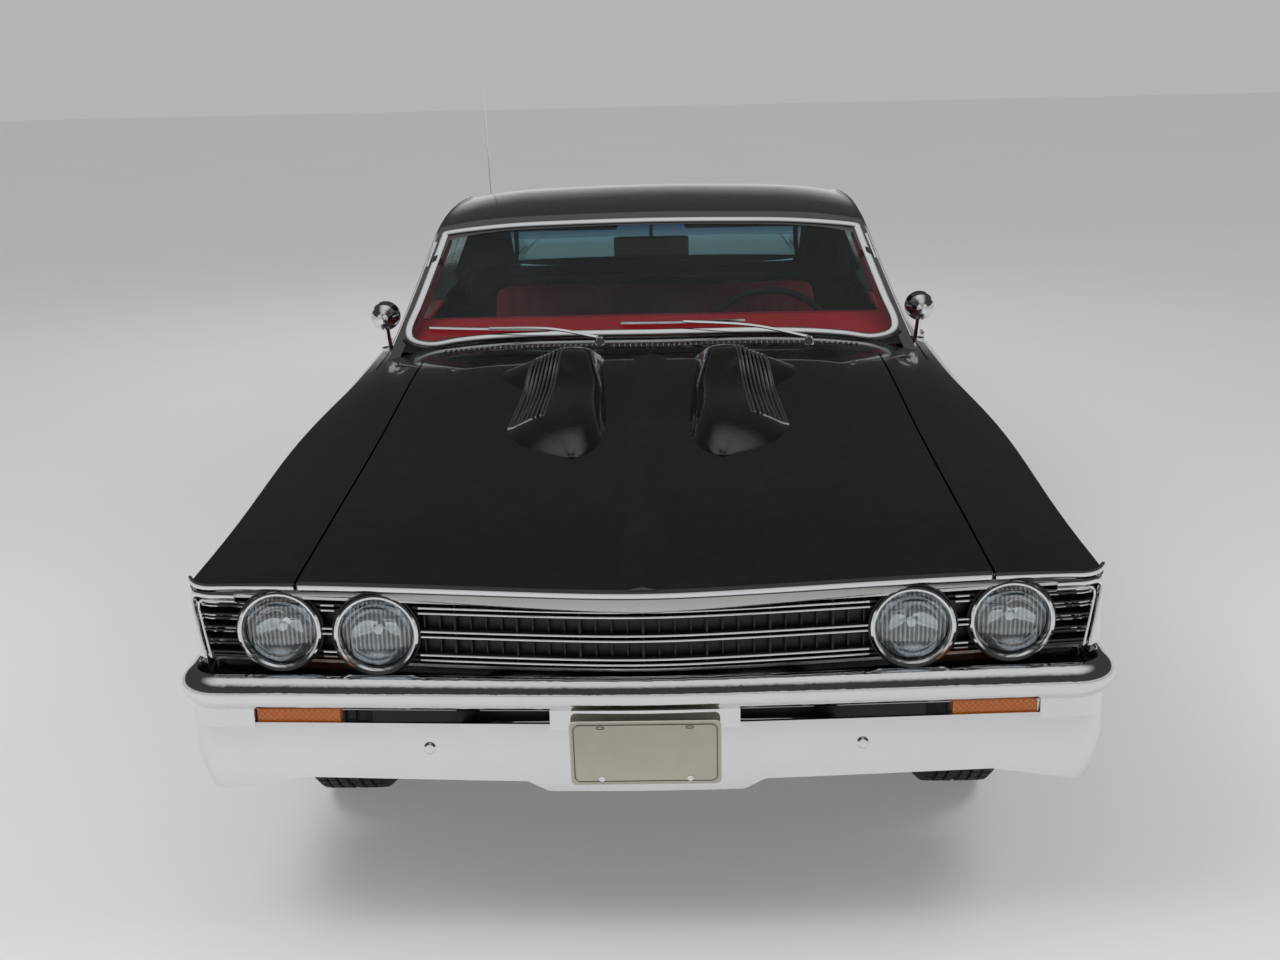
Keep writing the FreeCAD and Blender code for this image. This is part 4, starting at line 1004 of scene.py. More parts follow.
@dataclass
class Studio:
    """Pale floor, soft lamps and the photograph's camera."""

    eye: Vector = field(default_factory=lambda: at(0.0775, -5.4758, 1.8205))
    turn: Tuple[float, float, float] = (1.30506694, 0.02257897, 0.01926538)
    lens: float = 45.72
    floor_color: Color = (0.60, 0.60, 0.60)
    floor_lift: float = 0.2
    wall: float = 0.46
    horizon: float = 0.66
    ceiling: float = 0.045
    zenith: float = 0.6
    ambient: float = 0.42

    def build(self) -> None:
        """Place the camera, the floor, the world and the lamps."""
        self.camera()
        self.floor()
        self.world()
        self.lamp("key", at(-2.6, -3.4, 4.6), at(0, -0.8, 0.6), (3.2, 1.6), 115)
        self.lamp("fill", at(3.4, -2.6, 4.2), at(0, -0.8, 0.6), (2.4, 1.4), 65)
        self.lamp("rear", at(-1.2, 5.4, 4.4), at(0, 1.2, 0.6), (2.4, 1.2), 60)

    def camera(self) -> None:
        """Stand the camera where the photograph was taken from."""
        data = bpy.data.cameras.new("camera")
        data.lens = self.lens
        data.sensor_width = 36
        data.clip_end = 100
        camera = bpy.data.objects.new("camera", data)
        camera.location = self.eye
        camera.rotation_euler = self.turn
        bpy.context.scene.collection.objects.link(camera)
        bpy.context.scene.camera = camera

    def floor(self) -> None:
        """Lay the pale studio floor."""
        mesh = bpy.data.meshes.new("studio_floor")
        mesh.from_pydata([(-40, -40, 0), (40, -40, 0), (40, 40, 0), (-40, 40, 0)], [], [(0, 1, 2, 3)])
        floor = bpy.data.objects.new("studio_floor", mesh)
        bpy.context.scene.collection.objects.link(floor)
        graph = Surface("floor_paint")
        cloud = graph.noise(0.7, 3)
        graph.set(Base_Color=graph.blend(cloud, self.floor_color, tuple(c * 0.94 for c in self.floor_color)),
                  Roughness=0.55, Specular_IOR_Level=0.25)
        glow = graph.node("Emission", {}, {"Color": (1.0, 1.0, 1.0), "Strength": graph.seen() * self.floor_lift})
        both = graph.node("AddShader", {}, {0: graph.shader.outputs[0], 1: glow.outputs[0]})
        graph.feed(graph.output.inputs["Surface"], both.outputs[0])
        mesh.materials.append(graph.material)

    def world(self) -> None:
        """Light the scene with an even pale sky that fades overhead."""
        world = bpy.data.worlds.new("studio_sky")
        bpy.context.scene.world = world
        world.use_nodes = True
        graph = Graph(world.node_tree)
        way = graph.node("TexCoord").outputs["Generated"]
        height = Value(graph, graph.node("SeparateXYZ", {}, {0: way}).outputs["Z"])
        rays = graph.node("LightPath")
        direct = Value(graph, rays.outputs["Is Camera Ray"])
        mirrored = (height.ramp(0.0, 0.14, self.horizon, self.ceiling) + height.ramp(0.72, 0.97, 0.0, self.zenith))
        seen = graph.seen()
        level = direct * self.wall + (seen - direct) * mirrored + (1 - seen) * self.ambient
        sky = graph.node("Background", {}, {"Color": (1.0, 1.0, 1.0), "Strength": level})
        graph.node("OutputWorld", {}, {"Surface": sky.outputs[0]})
        bpy.context.scene.view_settings.view_transform = "Standard"

    def lamp(self, name: str, place: Vector, aim: Vector, size: Tuple[float, float], power: float) -> None:
        """Hang one soft rectangular lamp.

        Args:
            name: the lamp's name.
            place: where it hangs, in metres.
            aim: the point that it faces.
            size: its width and depth.
            power: its power in watts.
        """
        data = bpy.data.lights.new(name, "AREA")
        data.shape = "RECTANGLE"
        data.size, data.size_y = size
        data.energy = power
        lamp = bpy.data.objects.new(name, data)
        lamp.location = place
        lamp.visible_glossy = False
        lamp.rotation_mode = "QUATERNION"
        lamp.rotation_quaternion = (aim - place).to_track_quat("-Z", "Y")
        bpy.context.scene.collection.objects.link(lamp)


@dataclass
class PackedNodes:
    """Finishes of the solids whose own shape stays in view."""

    finishes: Tuple[Tuple[Finish, str], ...] = (
        (BLACK, "body_shell hood decklid fender_left fender_right door_left door_right"),
        (FRAME_BLACK, "floor_pan frame_rails core_support"), (ENGINE, "engine"), (PIPE, "exhaust fuel_tank"),
        (IRON, "rear_axle front_suspension knuckle_left knuckle_right"),
        (CLEAR, "door_glass_left door_glass_right quarter_windows windshield"), (BLUE_GLASS, "rear_window"),
        (CHROME, "mirror_left mirror_right front_bumper rear_bumper antenna"),
        (DARK, "inside_mirror grille steering_wheel"), (STAINLESS, "grille_surround wipers"), (LAMP, "headlamps"),
        (AMBER, "parking_lamps"), (RED_LENS, "tail_lamps"), (LIT_PADDED_RED, "dash"), (SEAT, "front_seats rear_seat"),
        (HEADLINER, "parcel_shelf"))

    def build(self) -> None:
        """Dress every solid."""
        named = {name: finish for finish, names in self.finishes for name in names.split()}
        for name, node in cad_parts.items():
            finish = named.get(name, TYRE if name.startswith("tyre") else WHEEL_SILVER)
            node.data.materials.clear()
            node.data.materials.append(finish.material())


@dataclass
class HoodDress:
    """Bright trim of the hood."""

    lip_height: float = 15.0
    louvres: int = 6
    rear: Tuple[float, float] = (238.0, 304.0)
    front: Tuple[float, float] = (264.0, 340.0)
    rear_y: float = -1086.0
    front_y: float = -1534.0

    def build(self) -> None:
        """Make the lip moulding and both louvred inserts."""
        self.lip()
        self.inserts()

    def lip(self) -> None:
        """Run a bright moulding along the hood's front edge."""
        path = [p for p in nose_line(0, 0, 60) if abs(p.x) < HOOD_FRONT_HALF - 2]
        path = [at(p.x, p.y, body_top(p.x, p.y) - self.lip_height / 2 + 1) for p in path]
        half = self.lip_height / 2
        profile = [(-1, -half), (2.6, -half), (4.6, -half * 0.3), (4.2, half * 0.5), (2, half), (-3, half + 1)]
        Piece("hood_lip_moulding").sweep(path, profile, UP).ready(CHROME, "hood")

    def insert_line(self, skin: Skin, side: Side, share: float, lift: float) -> List[Vector]:
        """Return a line along an insert, on the blister's outer slope.

        Args:
            skin: the hood's surface.
            side: which blister.
            share: 0 at the insert's inner edge, 1 at its outer one.
            lift: height over the surface.

        Returns:
            Points from the rear to the front.
        """
        points = []
        for i in range(13):
            t = i / 12
            y = self.rear_y + (self.front_y - self.rear_y) * t
            rear = self.rear[0] + (self.rear[1] - self.rear[0]) * share
            front = self.front[0] + (self.front[1] - self.front[0]) * share
            points.append(skin.top(side.value * (rear + (front - rear) * t), y, lift))
        return points

    def inserts(self) -> None:
        """Lay bright ribs between the blisters' slots, inside a thin frame."""
        skin = Skin("hood")
        ribs = Piece("hood_louvre_ribs")
        frames = Piece("hood_louvre_frames")
        for side in Side:
            slope = at(side.value * 0.45, 0, 0.89)
            for i in range(self.louvres + 1):
                share = (i + 0.22) / self.louvres if i < self.louvres else 1.03
                ribs.sweep(self.insert_line(skin, side, share, 0.2), rounded(5.2, 4.2, 1.0), slope)
            inner = self.insert_line(skin, side, -0.09, 0.2)
            outer = self.insert_line(skin, side, 1.12, 0.2)
            across = [inner[-1].lerp(outer[-1], t / 6) for t in range(1, 6)]
            back = [outer[0].lerp(inner[0], t / 6) for t in range(1, 6)]
            loop = inner + across + outer[::-1] + back
            loop = [skin.top(p.x, p.y, 0.2) for p in loop]
            frames.sweep(loop, rounded(4.4, 3.2, 0.8), slope, looped=True)
        ribs.ready(BRIGHT, "hood")
        frames.ready(CHROME, "hood")


@dataclass
class Nose:
    """Header panel, mouldings, grille bars and lamps."""

    lamp_x: Tuple[float, float] = (538.0, 740.0)
    lamp_z: float = 674.0
    lamp_radius: float = 73.0
    bezel_radius: float = 86.0
    pairs: Tuple[float, ...] = (622.0, 672.0, 722.0)
    end_pairs: Tuple[float, ...] = (618.0, 645.0, 672.0, 699.0, 726.0)
    header_low: float = 730.0
    header_rise: float = 19.0
    frame_top_z: float = 749.0
    frame_foot_z: float = 610.0
    frame_width: float = 13.0

    def build(self) -> None:
        """Make every piece of the nose."""
        self.header()
        self.mouldings()
        self.bars()
        self.lamps()
        self.shelf()

    def shelf(self) -> None:
        """Close the nose below the lamps with a dark shelf that runs out behind the bumper."""
        rings = []
        for inner, outer in zip(nose_line(34, 0, 60), nose_line(-20, 0, 60)):
            if abs(inner.x) < 900:
                rings.append([at(place.x, place.y + back, z) for place, back, z in
                              ((inner, 0, 614), (inner, 0, 580), (outer, 0, 572), (outer, 0, 568), (inner, 4, 574),
                               (inner, 4, 614))])
        Piece("nose_shelf").skin(rings).ready(BLACK, angle=50)

    def header(self) -> None:
        """Stretch a satin panel over the grille, deeper at its middle."""
        face = Piece("header_panel")
        rings = []
        for p in nose_line(0, 0, 60):
            if abs(p.x) > 872:
                continue
            low = self.header_low + self.header_rise * min(1.0, abs(p.x) / 540)
            high = body_top(p.x, p.y) - 15.5
            high = max(high, low + 3)
            mid = (low + high) / 2
            rings.append([at(p.x, p.y + back, z) for back, z in
                          ((4, low), (-1.2, low), (-3.2, low + 2.5), (-2.6, mid), (-1.2, high - 2), (4, high))])
        face.skin(rings).ready(STAINLESS, angle=40)

    def corner(self, x: float, z: float, lift: float) -> Vector:
        """Return the point of the nose's rounded corner at a place across, on the left side.

        Args:
            x: place across.
            z: height.
            lift: how far out to go.

        Returns:
            The lifted point.
        """
        middle = NOSE_HALF - NOSE_CORNER
        turn = asin(min(1.0, max(0.0, (x - middle) / NOSE_CORNER)))
        centre_y = nose_y(middle) + NOSE_CORNER
        y = centre_y - NOSE_CORNER * cos(turn) if x > middle else nose_y(x)
        return at(x + lift * sin(turn), y - lift * cos(turn), z)

    def frame_x(self, z: float, inset: float) -> float:
        """Return how far out the louvre frame stands at a height."""
        share = (self.frame_top_z - z) / (self.frame_top_z - self.frame_foot_z)
        return 931 - 25 * share - inset

    def mouldings(self) -> None:
        """Carry a bright moulding over each fender's edge, and a double frame round its louvres."""
        trim, frames = Piece("fender_mouldings"), Piece("louvre_frames")
        top = []
        for i in range(20):
            x = HOOD_FRONT_HALF + 4 + (934 - HOOD_FRONT_HALF - 4) * (i / 19)
            place = self.corner(x, 0, 1)
            top.append(at(place.x, place.y, body_top(min(x, 905), place.y) - 8))
        trim.sweep(top, rounded(13, 4.5, 3), lambda p: self.outward(p))
        trim.mirror().ready(CHROME)
        rings = []
        for i in range(15):
            z = self.frame_top_z + 1 - 10.2 * i
            start = self.frame_x(z, 4.0)
            ring = []
            for j in range(9):
                x = start + (NOSE_HALF - start) * sin(pi / 2 * j / 8)
                ring.append(self.corner(x, z, 1.2))
            ring.append(at(NOSE_HALF + 1.2, ring[-1].y + 14, z))
            rings.append(ring)
        frames.sheet(rings, at(-1.5, 2.5, 0))
        for inset, wide, high in ((0.0, self.frame_width, 5.0), (15.0, 6.0, 3.4)):
            points = [self.corner(x, self.frame_top_z - inset * 0.75 - 3, 0.5) for x in (830, 850, 870, 890)]
            for turn in (12, 36, 60, 84):
                a = radians(turn)
                z = self.frame_top_z - inset * 0.75 - 3 - 22 * (1 - cos(a))
                points.append(self.corner(self.frame_x(z, inset) - 22 * (1 - sin(a)), z, 0.5))
            points += [self.corner(self.frame_x(z, inset), z, 0.5) for z in (700, 670, 640, self.frame_foot_z)]
            frames.sweep(curve_through(points, 4), rounded(wide, high, 3), lambda p: self.outward(p))
        frames.mirror().ready(CHROME)

    def outward(self, place: Vector) -> Vector:
        """Return the way out of the nose's face at a place.

        Args:
            place: a point of the face.

        Returns:
            The way out.
        """
        share = min(1.0, max(0.0, (abs(place.x) - 868) / 70))
        side = copysign(1, place.x)
        turn = asin(share)
        return at(side * sin(turn), -cos(turn) - 0.001, 0.05)

    def bars(self) -> None:
        """Make the bright bars and the short upright dividers behind them."""
        bars = Piece("grille_bars")
        section = [(-6, -2.4), (1.6, -2.4), (2.8, -1.0), (2.8, 1.0), (1.6, 2.4), (-6, 2.4)]
        ends = [(-5, -2.4), (4.2, -2.4), (5.4, 0), (4.2, 2.4), (-5, 2.4)]
        for z in self.pairs:
            for offset in (-5.5, 5.5):
                line = [at(p.x, p.y, z + offset) for p in nose_line(12, 0, 80)]
                for low, high in ((-451, 451), (625, 653), (-653, -625)):
                    run = [p for p in line if low <= p.x <= high]
                    for x in (low, high):
                        run.append(at(x, nose_y(x) + 12, z + offset))
                    run.sort(key=lambda p: p.x)
                    bars.sweep(run, section, UP)
        for z in self.end_pairs:
            for offset in (-3.7, 3.7):
                half = sqrt(max(0.0, (self.bezel_radius + 3) ** 2 - (z + offset - self.lamp_z) ** 2))
                start = self.lamp_x[1] + half
                line = [at(p.x, p.y, z + offset) for p in nose_line(8, 34, 80)]
                for side in Side:
                    stop = self.frame_x(z + offset, 17.0)
                    run = [p for p in line if start < p.x * side.value < stop]
                    run.append(self.corner(stop, z + offset, -6))
                    run[-1].x *= side.value
                    run.append(at(side.value * start, nose_y(start) + 8, z + offset))
                    run.sort(key=lambda p: (round(p.x * side.value, 3), p.y))
                    bars.sweep(run, ends if side is Side.LEFT else [(-a, b) for a, b in ends], UP)
        bars.ready(CHROME, slot="stainless")
        fins = Piece("grille_fins")
        for i in range(-14, 15):
            x = i * 31.5
            y = nose_y(x)
            deep = 15 if i % 4 == 0 else 22
            fins.slab((x - 1.6, y + deep, 612), (x + 1.6, y + 36, 740))
        fins.ready(DARK)

    def lamps(self) -> None:
        """Make the four lamps with bowls, fluted lenses, bright rings and dark shrouds."""
        lens, bowl = Piece("headlamp_lenses"), Piece("headlamp_bowls")
        rings, shrouds = Piece("headlamp_rings"), Piece("headlamp_shrouds")
        shields = Piece("headlamp_bulb_shields")
        back = BACKWARD
        r, b = self.lamp_radius, self.bezel_radius
        for side in Side:
            for x in self.lamp_x:
                centre = at(side.value * x, nose_y(x) + 4, self.lamp_z)
                lens.lathe([(-5, 0), (-4.2, 26), (-1.5, 50), (4, r - 3), (8, r - 0.5), (10, r - 0.5), (7, r - 6),
                            (1.5, 50), (-1, 26), (-2, 0)], centre, back, 64)
                bowl.lathe([(9, r - 1), (20, 66), (34, 52), (46, 30), (52, 8), (55, 8), (50, 31), (37, 55),
                            (22, 69), (11, r - 0.5)], centre, back, 64)
                shields.lathe([(18, 0), (18, 9), (20, 11), (24, 11), (24, 0)], centre, back, 32)
                rings.lathe([(6, r + 0.4), (-7, r + 0.6), (-12, r + 4), (-13.5, r + 8), (-11, b - 1), (-4, b + 0.6),
                             (10, b + 0.8), (10, b - 3)], centre, back, 72)
                lead = -8 if x == self.lamp_x[0] else -2
                shrouds.lathe([(lead, b + 1.0), (lead, b + 3.5), (30, b + 3.5), (30, b + 1.0)], centre, back, 64)
        lens.ready(LAMP, replaces=("headlamps",))
        bowl.ready(MIRROR)
        shields.ready(CHROME)
        rings.ready(CHROME)
        shrouds.ready(DARK)


@dataclass
class Bumpers:
    """Bolts and the two bare plates."""

    bolt_x: float = 435.0
    bolt_z: float = 448.0
    plate_size: Tuple[float, float] = (303.0, 152.0)
    front_centre: Vector = field(default_factory=lambda: at(0, -2485.5, 441))
    front_lean: float = 10.5
    rear_centre: Vector = field(default_factory=lambda: at(0, 2444, 515))

    def build(self) -> None:
        """Make the plates and the bumper bolts."""
        self.plate("front_plate", self.front_centre, FORWARD, self.front_lean)
        self.plate("rear_plate", self.rear_centre, -FORWARD, 0)
        skin = Skin("front_bumper")
        bolts = Piece("bumper_bolts")
        for side in Side:
            hit = skin.hit(at(side.value * self.bolt_x, -2600, self.bolt_z), BACKWARD)
            bolts.lathe([(-1, 0), (-1, 13), (1, 13), (4.5, 9), (5.5, 0)], hit, FORWARD, 24)
        bolts.ready(CHROME)

    def plate(self, name: str, centre: Vector, out: Vector, lean: float) -> None:
        """Make one bare plate.

        Args:
            name: the start of its pieces' names.
            centre: the middle of its face.
            out: the way it faces.
            lean: how far its top tips back, in degrees.
        """
        width, height = self.plate_size
        turn = Matrix.Rotation(radians(lean), 3, "X")
        face, rim, screws = Piece(name), Piece(name + "_rim"), Piece(name + "_screws")
        s = -out.y
        outline = []
        for x, z, start in ((1, 1, 0), (-1, 1, 90), (-1, -1, 180), (1, -1, 270)):
            for a in (radians(start + 18 * i) for i in range(6)):
                outline.append(at(x * (width / 2 - 11) + 11 * cos(a), 0, z * (height / 2 - 11) + 11 * sin(a)))
        face.skin([[centre + turn @ (p * share + at(0, s * back, 0)) for p in outline] for share,
                   back in ((1.0, 1.6), (1.0, 0.3), (0.995, 0.0), (0.985, -0.6), (0.97, -0.6), (0.962, 0.0))])
        w, h = width / 2 - 8.5, height / 2 - 8.5
        loop = [centre + turn @ (at(x, 0, z) + out * 0.2) for x,
                z in ((-w + 8, -h), (w - 8, -h), (w, -h + 8), (w, h - 8), (w - 8, h), (-w + 8, h), (-w, h - 8),
                             (-w, -h + 8))]
        rim.sweep(loop, [(-0.65, -0.5), (0.65, -0.5), (0.65, 0.7), (-0.65, 0.7)], turn @ out, looped=True)
        for x in (-89, 89):
            for z in (-61, 61):
                place = centre + turn @ at(x, 0, z)
                if z < 0:
                    screws.lathe([(0, 0), (0, 7), (2.2, 6.4), (3.2, 3), (3.2, 0)], place, turn @ out, 20)
                else:
                    loop = [place + turn @ at(8 * cos(a), 0, 3 * sin(a)) + turn @ out * 0.15
                            for a in (radians(30 * i) for i in range(12))]
                    rim.sweep(loop, [(-0.6, -0.5), (0.6, -0.5), (0.6, 0.5), (-0.6, 0.5)], turn @ out, looped=True)
        face.ready(CREAM, bevel=0.5)
        rim.ready(DARK)
        screws.ready(CHROME)


@dataclass
class Glazing:
    """Bright trim round the glass, a cowl vent and the drip rails."""

    trim_width: float = 22.0
    trim_height: float = 5.0

    def build(self) -> None:
        """Make the windshield trim, the drip rails, the side trim and the rear window trim."""
        self.windshield()
        self.cowl_vent()
        self.drip_rails()
        self.rear_window()
        self.side_trim()

    def half_width(self, z: float) -> float:
        """Return half the windshield's width at a height.

        Args:
            z: the height.

        Returns:
            Half the width.
        """
        width = 700.0
        for _ in range(5):
            width = roof_side_x(glass_y(width, z), z) - PILLAR
        return width

    def windshield(self) -> None:
        """Run the bright trim round the windshield, with round lower corners."""
        normal = at(0, -315, 382).normalized()
        lift = 2.0
        right = []
        for x in (0, 150, 300, 450, 560, 640):
            z = 970.0
            for _ in range(6):
                z = body_top(x, glass_y(x, z)) + 13
            right.append(at(x, glass_y(x, z), z))
        foot = right[-1].z
        right.append(at(self.half_width(foot + 8) - 22, 0, foot + 8))
        for z in (foot + 34, foot + 90, 1090, 1150, 1210, 1240):
            right.append(at(self.half_width(z) + 6, 0, z))
        top_z = along(ROOF_Z, -385) - PILLAR - ROOF_CROWN * 0.75
        right.append(at(self.half_width(top_z) - 4, 0, top_z + 4))
        for x, drop in ((520, 0.45), (400, 0.22), (260, 0.1), (130, 0.03), (0, 0.0)):
            z = 1270.0
            for _ in range(6):
                z = along(ROOF_Z, glass_y(x, z)) - PILLAR + 8 - ROOF_CROWN * drop
            right.append(at(x, 0, z))
        half = curve_through([at(p.x, glass_y(p.x, p.z), p.z) for p in right], 6)
        loop = half + flipped(half[1:-1])
        loop = [p + normal * lift for p in loop]
        Piece("windshield_trim").sweep(loop, rounded(self.trim_width, self.trim_height, 4), normal,
                                       looped=True).ready(CHROME)
        low = [p for p in half if p.z < 985]
        low = flipped(low[1:]) + low
        Piece("windshield_apron").sweep(low, [(2, -4), (2, 1.5), (18, -1), (32, -9), (32, -14)], normal).ready(
            BLACK)

    def cowl_vent(self) -> None:
        """Set a row of small louvres across the cowl, ahead of the glass, over dark patches of painted shade for
        the openings.
        """
        skin = Skin("body_shell")
        fins, slots = Piece("cowl_vent_fins"), Piece("cowl_vent_slot_shades")
        for i in range(-38, 39):
            x = i * 15.5
            if min(abs(x + 144), abs(x - 450)) < 24:
                continue
            y = glass_y(x, 965) - 60
            low = skin.top(x, y, 0)
            # A dark patch under each fin paints the shade inside the vent's opening.
            slots.slab((x - 5, y - 13, low.z - 1), (x + 5, y + 13, low.z + 0.5))
            fins.slab((x + 4.6, y - 12, low.z - 1), (x + 7.4, y + 12, low.z + 3.2))
        slots.ready(DARK)
        fins.ready(BRIGHT, bevel=0.6)

    def drip_rails(self) -> None:
        """Run the drip rails up the pillars, along the roof and down to the rear quarters."""
        rails = Piece("drip_rails")
        for side in Side:
            points = []
            for z in (958, 1030, 1110, 1190, 1240):
                y = glass_y(self.half_width(z), z) + 16
                points.append(at(side.value * (roof_side_x(y, z) + 1.5), y, z))
            for y in (-330, -200, 0, 200, 400, 540, 640, 720, 800):
                points.append(at(side.value * (along(DRIP_X, y) + 1.5), y, along(ROOF_Z, y) - ROOF_CROWN - 1))
            path = curve_through(points, 6)
            rails.sweep(path, circle(5.0, 10), lambda p: at(copysign(1, p.x), 0, 0.3))
        rails.ready(CHROME)

    def rear_window(self) -> None:
        """Frame the rear window."""
        skin = Skin("rear_window")
        low, high = skin.low, skin.high
        normal = at(0, 0.68, 0.73)
        points = []
        for x, z in ((0, 0), (0.5, 0), (0.9, 0.01), (0.985, 0.06), (0.97, 0.3), (0.955, 0.6), (0.935, 0.9),
                     (0.86, 0.975), (0.5, 0.985), (0, 0.99)):
            points.append(at(x * high.x, 0, low.z + (high.z - low.z) * z))
        right = []
        for p in points:
            hit = skin.hit(at(p.x * 0.99, 1500, min(max(p.z, low.z + 12), high.z - 30)), FORWARD)
            slope = -320 / 296
            y = hit.y + (p.z - hit.z) * slope if hit else 900.0
            right.append(at(p.x, y, p.z))
        half = curve_through(right, 5)
        loop = half + flipped(half[1:-1])
        loop = [p + normal * 2 for p in loop]
        Piece("rear_window_trim").sweep(loop, rounded(18, 5, 5), normal, looped=True).ready(CHROME)

    def side_trim(self) -> None:
        """Lay bright strips along the door tops and round the vent windows."""
        for side in Side:
            name = side.name.lower()
            skin = Skin("door_" + name, "body_shell")
            points = []
            for y in range(-640, 266, 60):
                x = side.value * (roof_side_x(y, 930) + 13)
                points.append(skin.top(x, y, 0.4))
            Piece("door_sill_strip_" + name).sweep(points, rounded(9, 4, 1.5), UP).ready(CHROME, "door_" + name)
            post = []
            for z in (935, 1020, 1110, 1190, 1236):
                y = -545 + (z - 880) * 22 / 360
                post.append(at(side.value * (roof_side_x(y, z) - 5.5), y, z))
            Piece("vent_post_" + name).sweep(post, [(-10, -3), (10, -3), (10, 3.5), (-10, 3.5)],
                                             at(side.value, 0, 0.35)).ready(CHROME, "door_" + name, bevel=1.0)


@dataclass
class Wheels:
    """Tyres with tread, and the wheels' bright parts."""

    blocks: int = 56

    def build(self) -> None:
        """Make the tyres and wheel trim of the four corners."""
        for axle in Axle:
            for side in Side:
                name = "%s_%s" % (axle.name.lower(), side.name.lower())
                centre = at(side.value * WHEEL_X, axle.value, TYRE_RADIUS)
                self.tyre(name, centre, side)
                self.trim(name, centre, side)

    def tyre(self, name: str, centre: Vector, side: Side) -> None:
        """Make one tyre with ribs, shoulder blocks and side rings.

        Args:
            name: the corner's name.
            centre: the wheel's centre.
            side: its side.
        """
        r = TYRE_RADIUS
        outline = [(-81, 194.4, 0), (-100, 226, 0), (-105.5, 250, 0), (-106, 262, 0), (-103, 288, 0), (-96, 310, 0),
                   (-90, 320, 0), (-78, r - 4, 0), (-74, r - 1.5, 1), (-58, r - 0.3, 1), (-56, r - 8, 0),
                   (-51, r - 8, 0), (-49, r - 0.1, 0.6), (-33, r, 0.6), (-31, r - 8, 0), (-26, r - 8, 0),
                   (-24, r, 0.35), (-8, r, 0.35), (-6, r - 8, 0), (-2, r - 8, 0)]
        full = outline + [(-a, radius, cut) for a, radius, cut in reversed(outline)]
        rings = []
        steps = self.blocks * 6
        for i in range(steps):
            angle = 2 * pi * i / steps
            phase = i % 6
            ring = []
            for a, radius, cut in full:
                lowered = radius - (7 if cut >= 1 and phase in (0, 1) else 0)
                lowered -= 4 if 0.3 < cut < 1 and phase == (0 if cut > 0.5 else 3) else 0
                zig = 2.2 * (abs(phase - 3) / 3 - 0.5) if 0 < cut < 1 or (radius < r - 7 and abs(a) < 57) else 0
                ring.append(centre + at(side.value * (a + zig), lowered * cos(angle), lowered * sin(angle)))
            rings.append(ring)
        Piece("tyre_tread_" + name).skin(rings, looped=True).ready(TYRE, "wheel_" + name, angle=38,
                                                                   replaces=("tyre_" + name,))

    def trim(self, name: str, centre: Vector, side: Side) -> None:
        """Make one wheel's trim ring, cap, nuts and valve.

        Args:
            name: the corner's name.
            centre: the wheel's centre.
            side: its side.
        """
        body = "wheel_" + name
        out = at(side.value, 0, 0)
        Piece("trim_ring_" + name).lathe([(70, 160), (78, 172), (87, 182), (89, 190), (86.5, 195.5), (84.5, 195),
                                          (83, 186), (74, 176), (66, 164)], centre, out, 72).ready(CHROME, body)
        Piece("hub_cap_" + name).lathe([(46.3, 0), (46.3, 41), (58, 40), (70, 34), (78, 24), (81, 12), (82, 0)],
                                       centre, out, 48).ready(CHROME, body)
        nuts = Piece("wheel_nuts_" + name)
        for way in wheel_of(5, BACKWARD, UP):
            place = centre + way * 62 + out * 40
            nuts.lathe([(-2, 0), (-2, 12), (3, 12), (4, 10), (17, 9.5), (21, 6), (22, 0)], place, out, 6)
        nuts.ready(CHROME, body, angle=30)
        Piece("valve_" + name).lathe([(-4, 0), (-4, 5), (12, 4), (13, 5), (20, 5), (21, 0)],
                                     centre + out * 60 + UP * 164, out, 16).ready(TYRE, body)


@dataclass
class Wipers:
    """Two bright wipers lying along the foot of the windshield."""

    runs: Tuple[Tuple[float, float, float, float], ...] = ((-144, -652, -293, 1010), (450, -86, 274, 1023))

    def build(self) -> None:
        """Make the arms, the blade bridges and the rubbers."""
        arms, bridges, rubbers, caps = (Piece("wiper_arms"), Piece("wiper_bridges"), Piece("wiper_rubbers"),
                                        Piece("wiper_caps"))
        for pivot_x, start, end, height in self.runs:
            foot = at(pivot_x, -915, body_top(pivot_x, -915))
            caps.lathe([(-1, 0), (-1, 15), (6, 14), (14, 11), (22, 10), (24, 0)], foot, UP, 28)
            mid_x = (start + end) / 2
            rest = at(mid_x, glass_y(mid_x, height) - 20, height + 2)
            path = curve_through([foot + at(0, 0, 20), foot.lerp(rest, 0.45) + at(0, 0, 24), rest], 8)
            arms.sweep(path, [(-5, -1.5), (5, -1.5), (4, 1.6), (-4, 1.6)], at(0, -0.64, 0.77))
            line = [at(start + (end - start) * i / 16, 0, height) for i in range(17)]
            line = [at(p.x, glass_y(p.x, p.z) - 9, p.z) for p in line]
            rubbers.sweep(line, [(-7.5, -1.3), (6, -2.2), (6, 2.2), (-7.5, 1.3)], UP)
            bow = [at(p.x, p.y - 7 - 5 * sin(pi * i / 16), p.z) for i, p in enumerate(line)]
            bridges.sweep(bow, [(-2.6, -3.6), (2.6, -3.6), (2.6, 3.6), (-2.6, 3.6)], UP)
        arms.ready(CHROME, slot="stainless", bevel=0.6, replaces=("wipers",))
        caps.ready(CHROME, slot="stainless")
        bridges.ready(CHROME, slot="stainless", bevel=0.8)
        rubbers.ready(TYRE, slot="black_plastic")


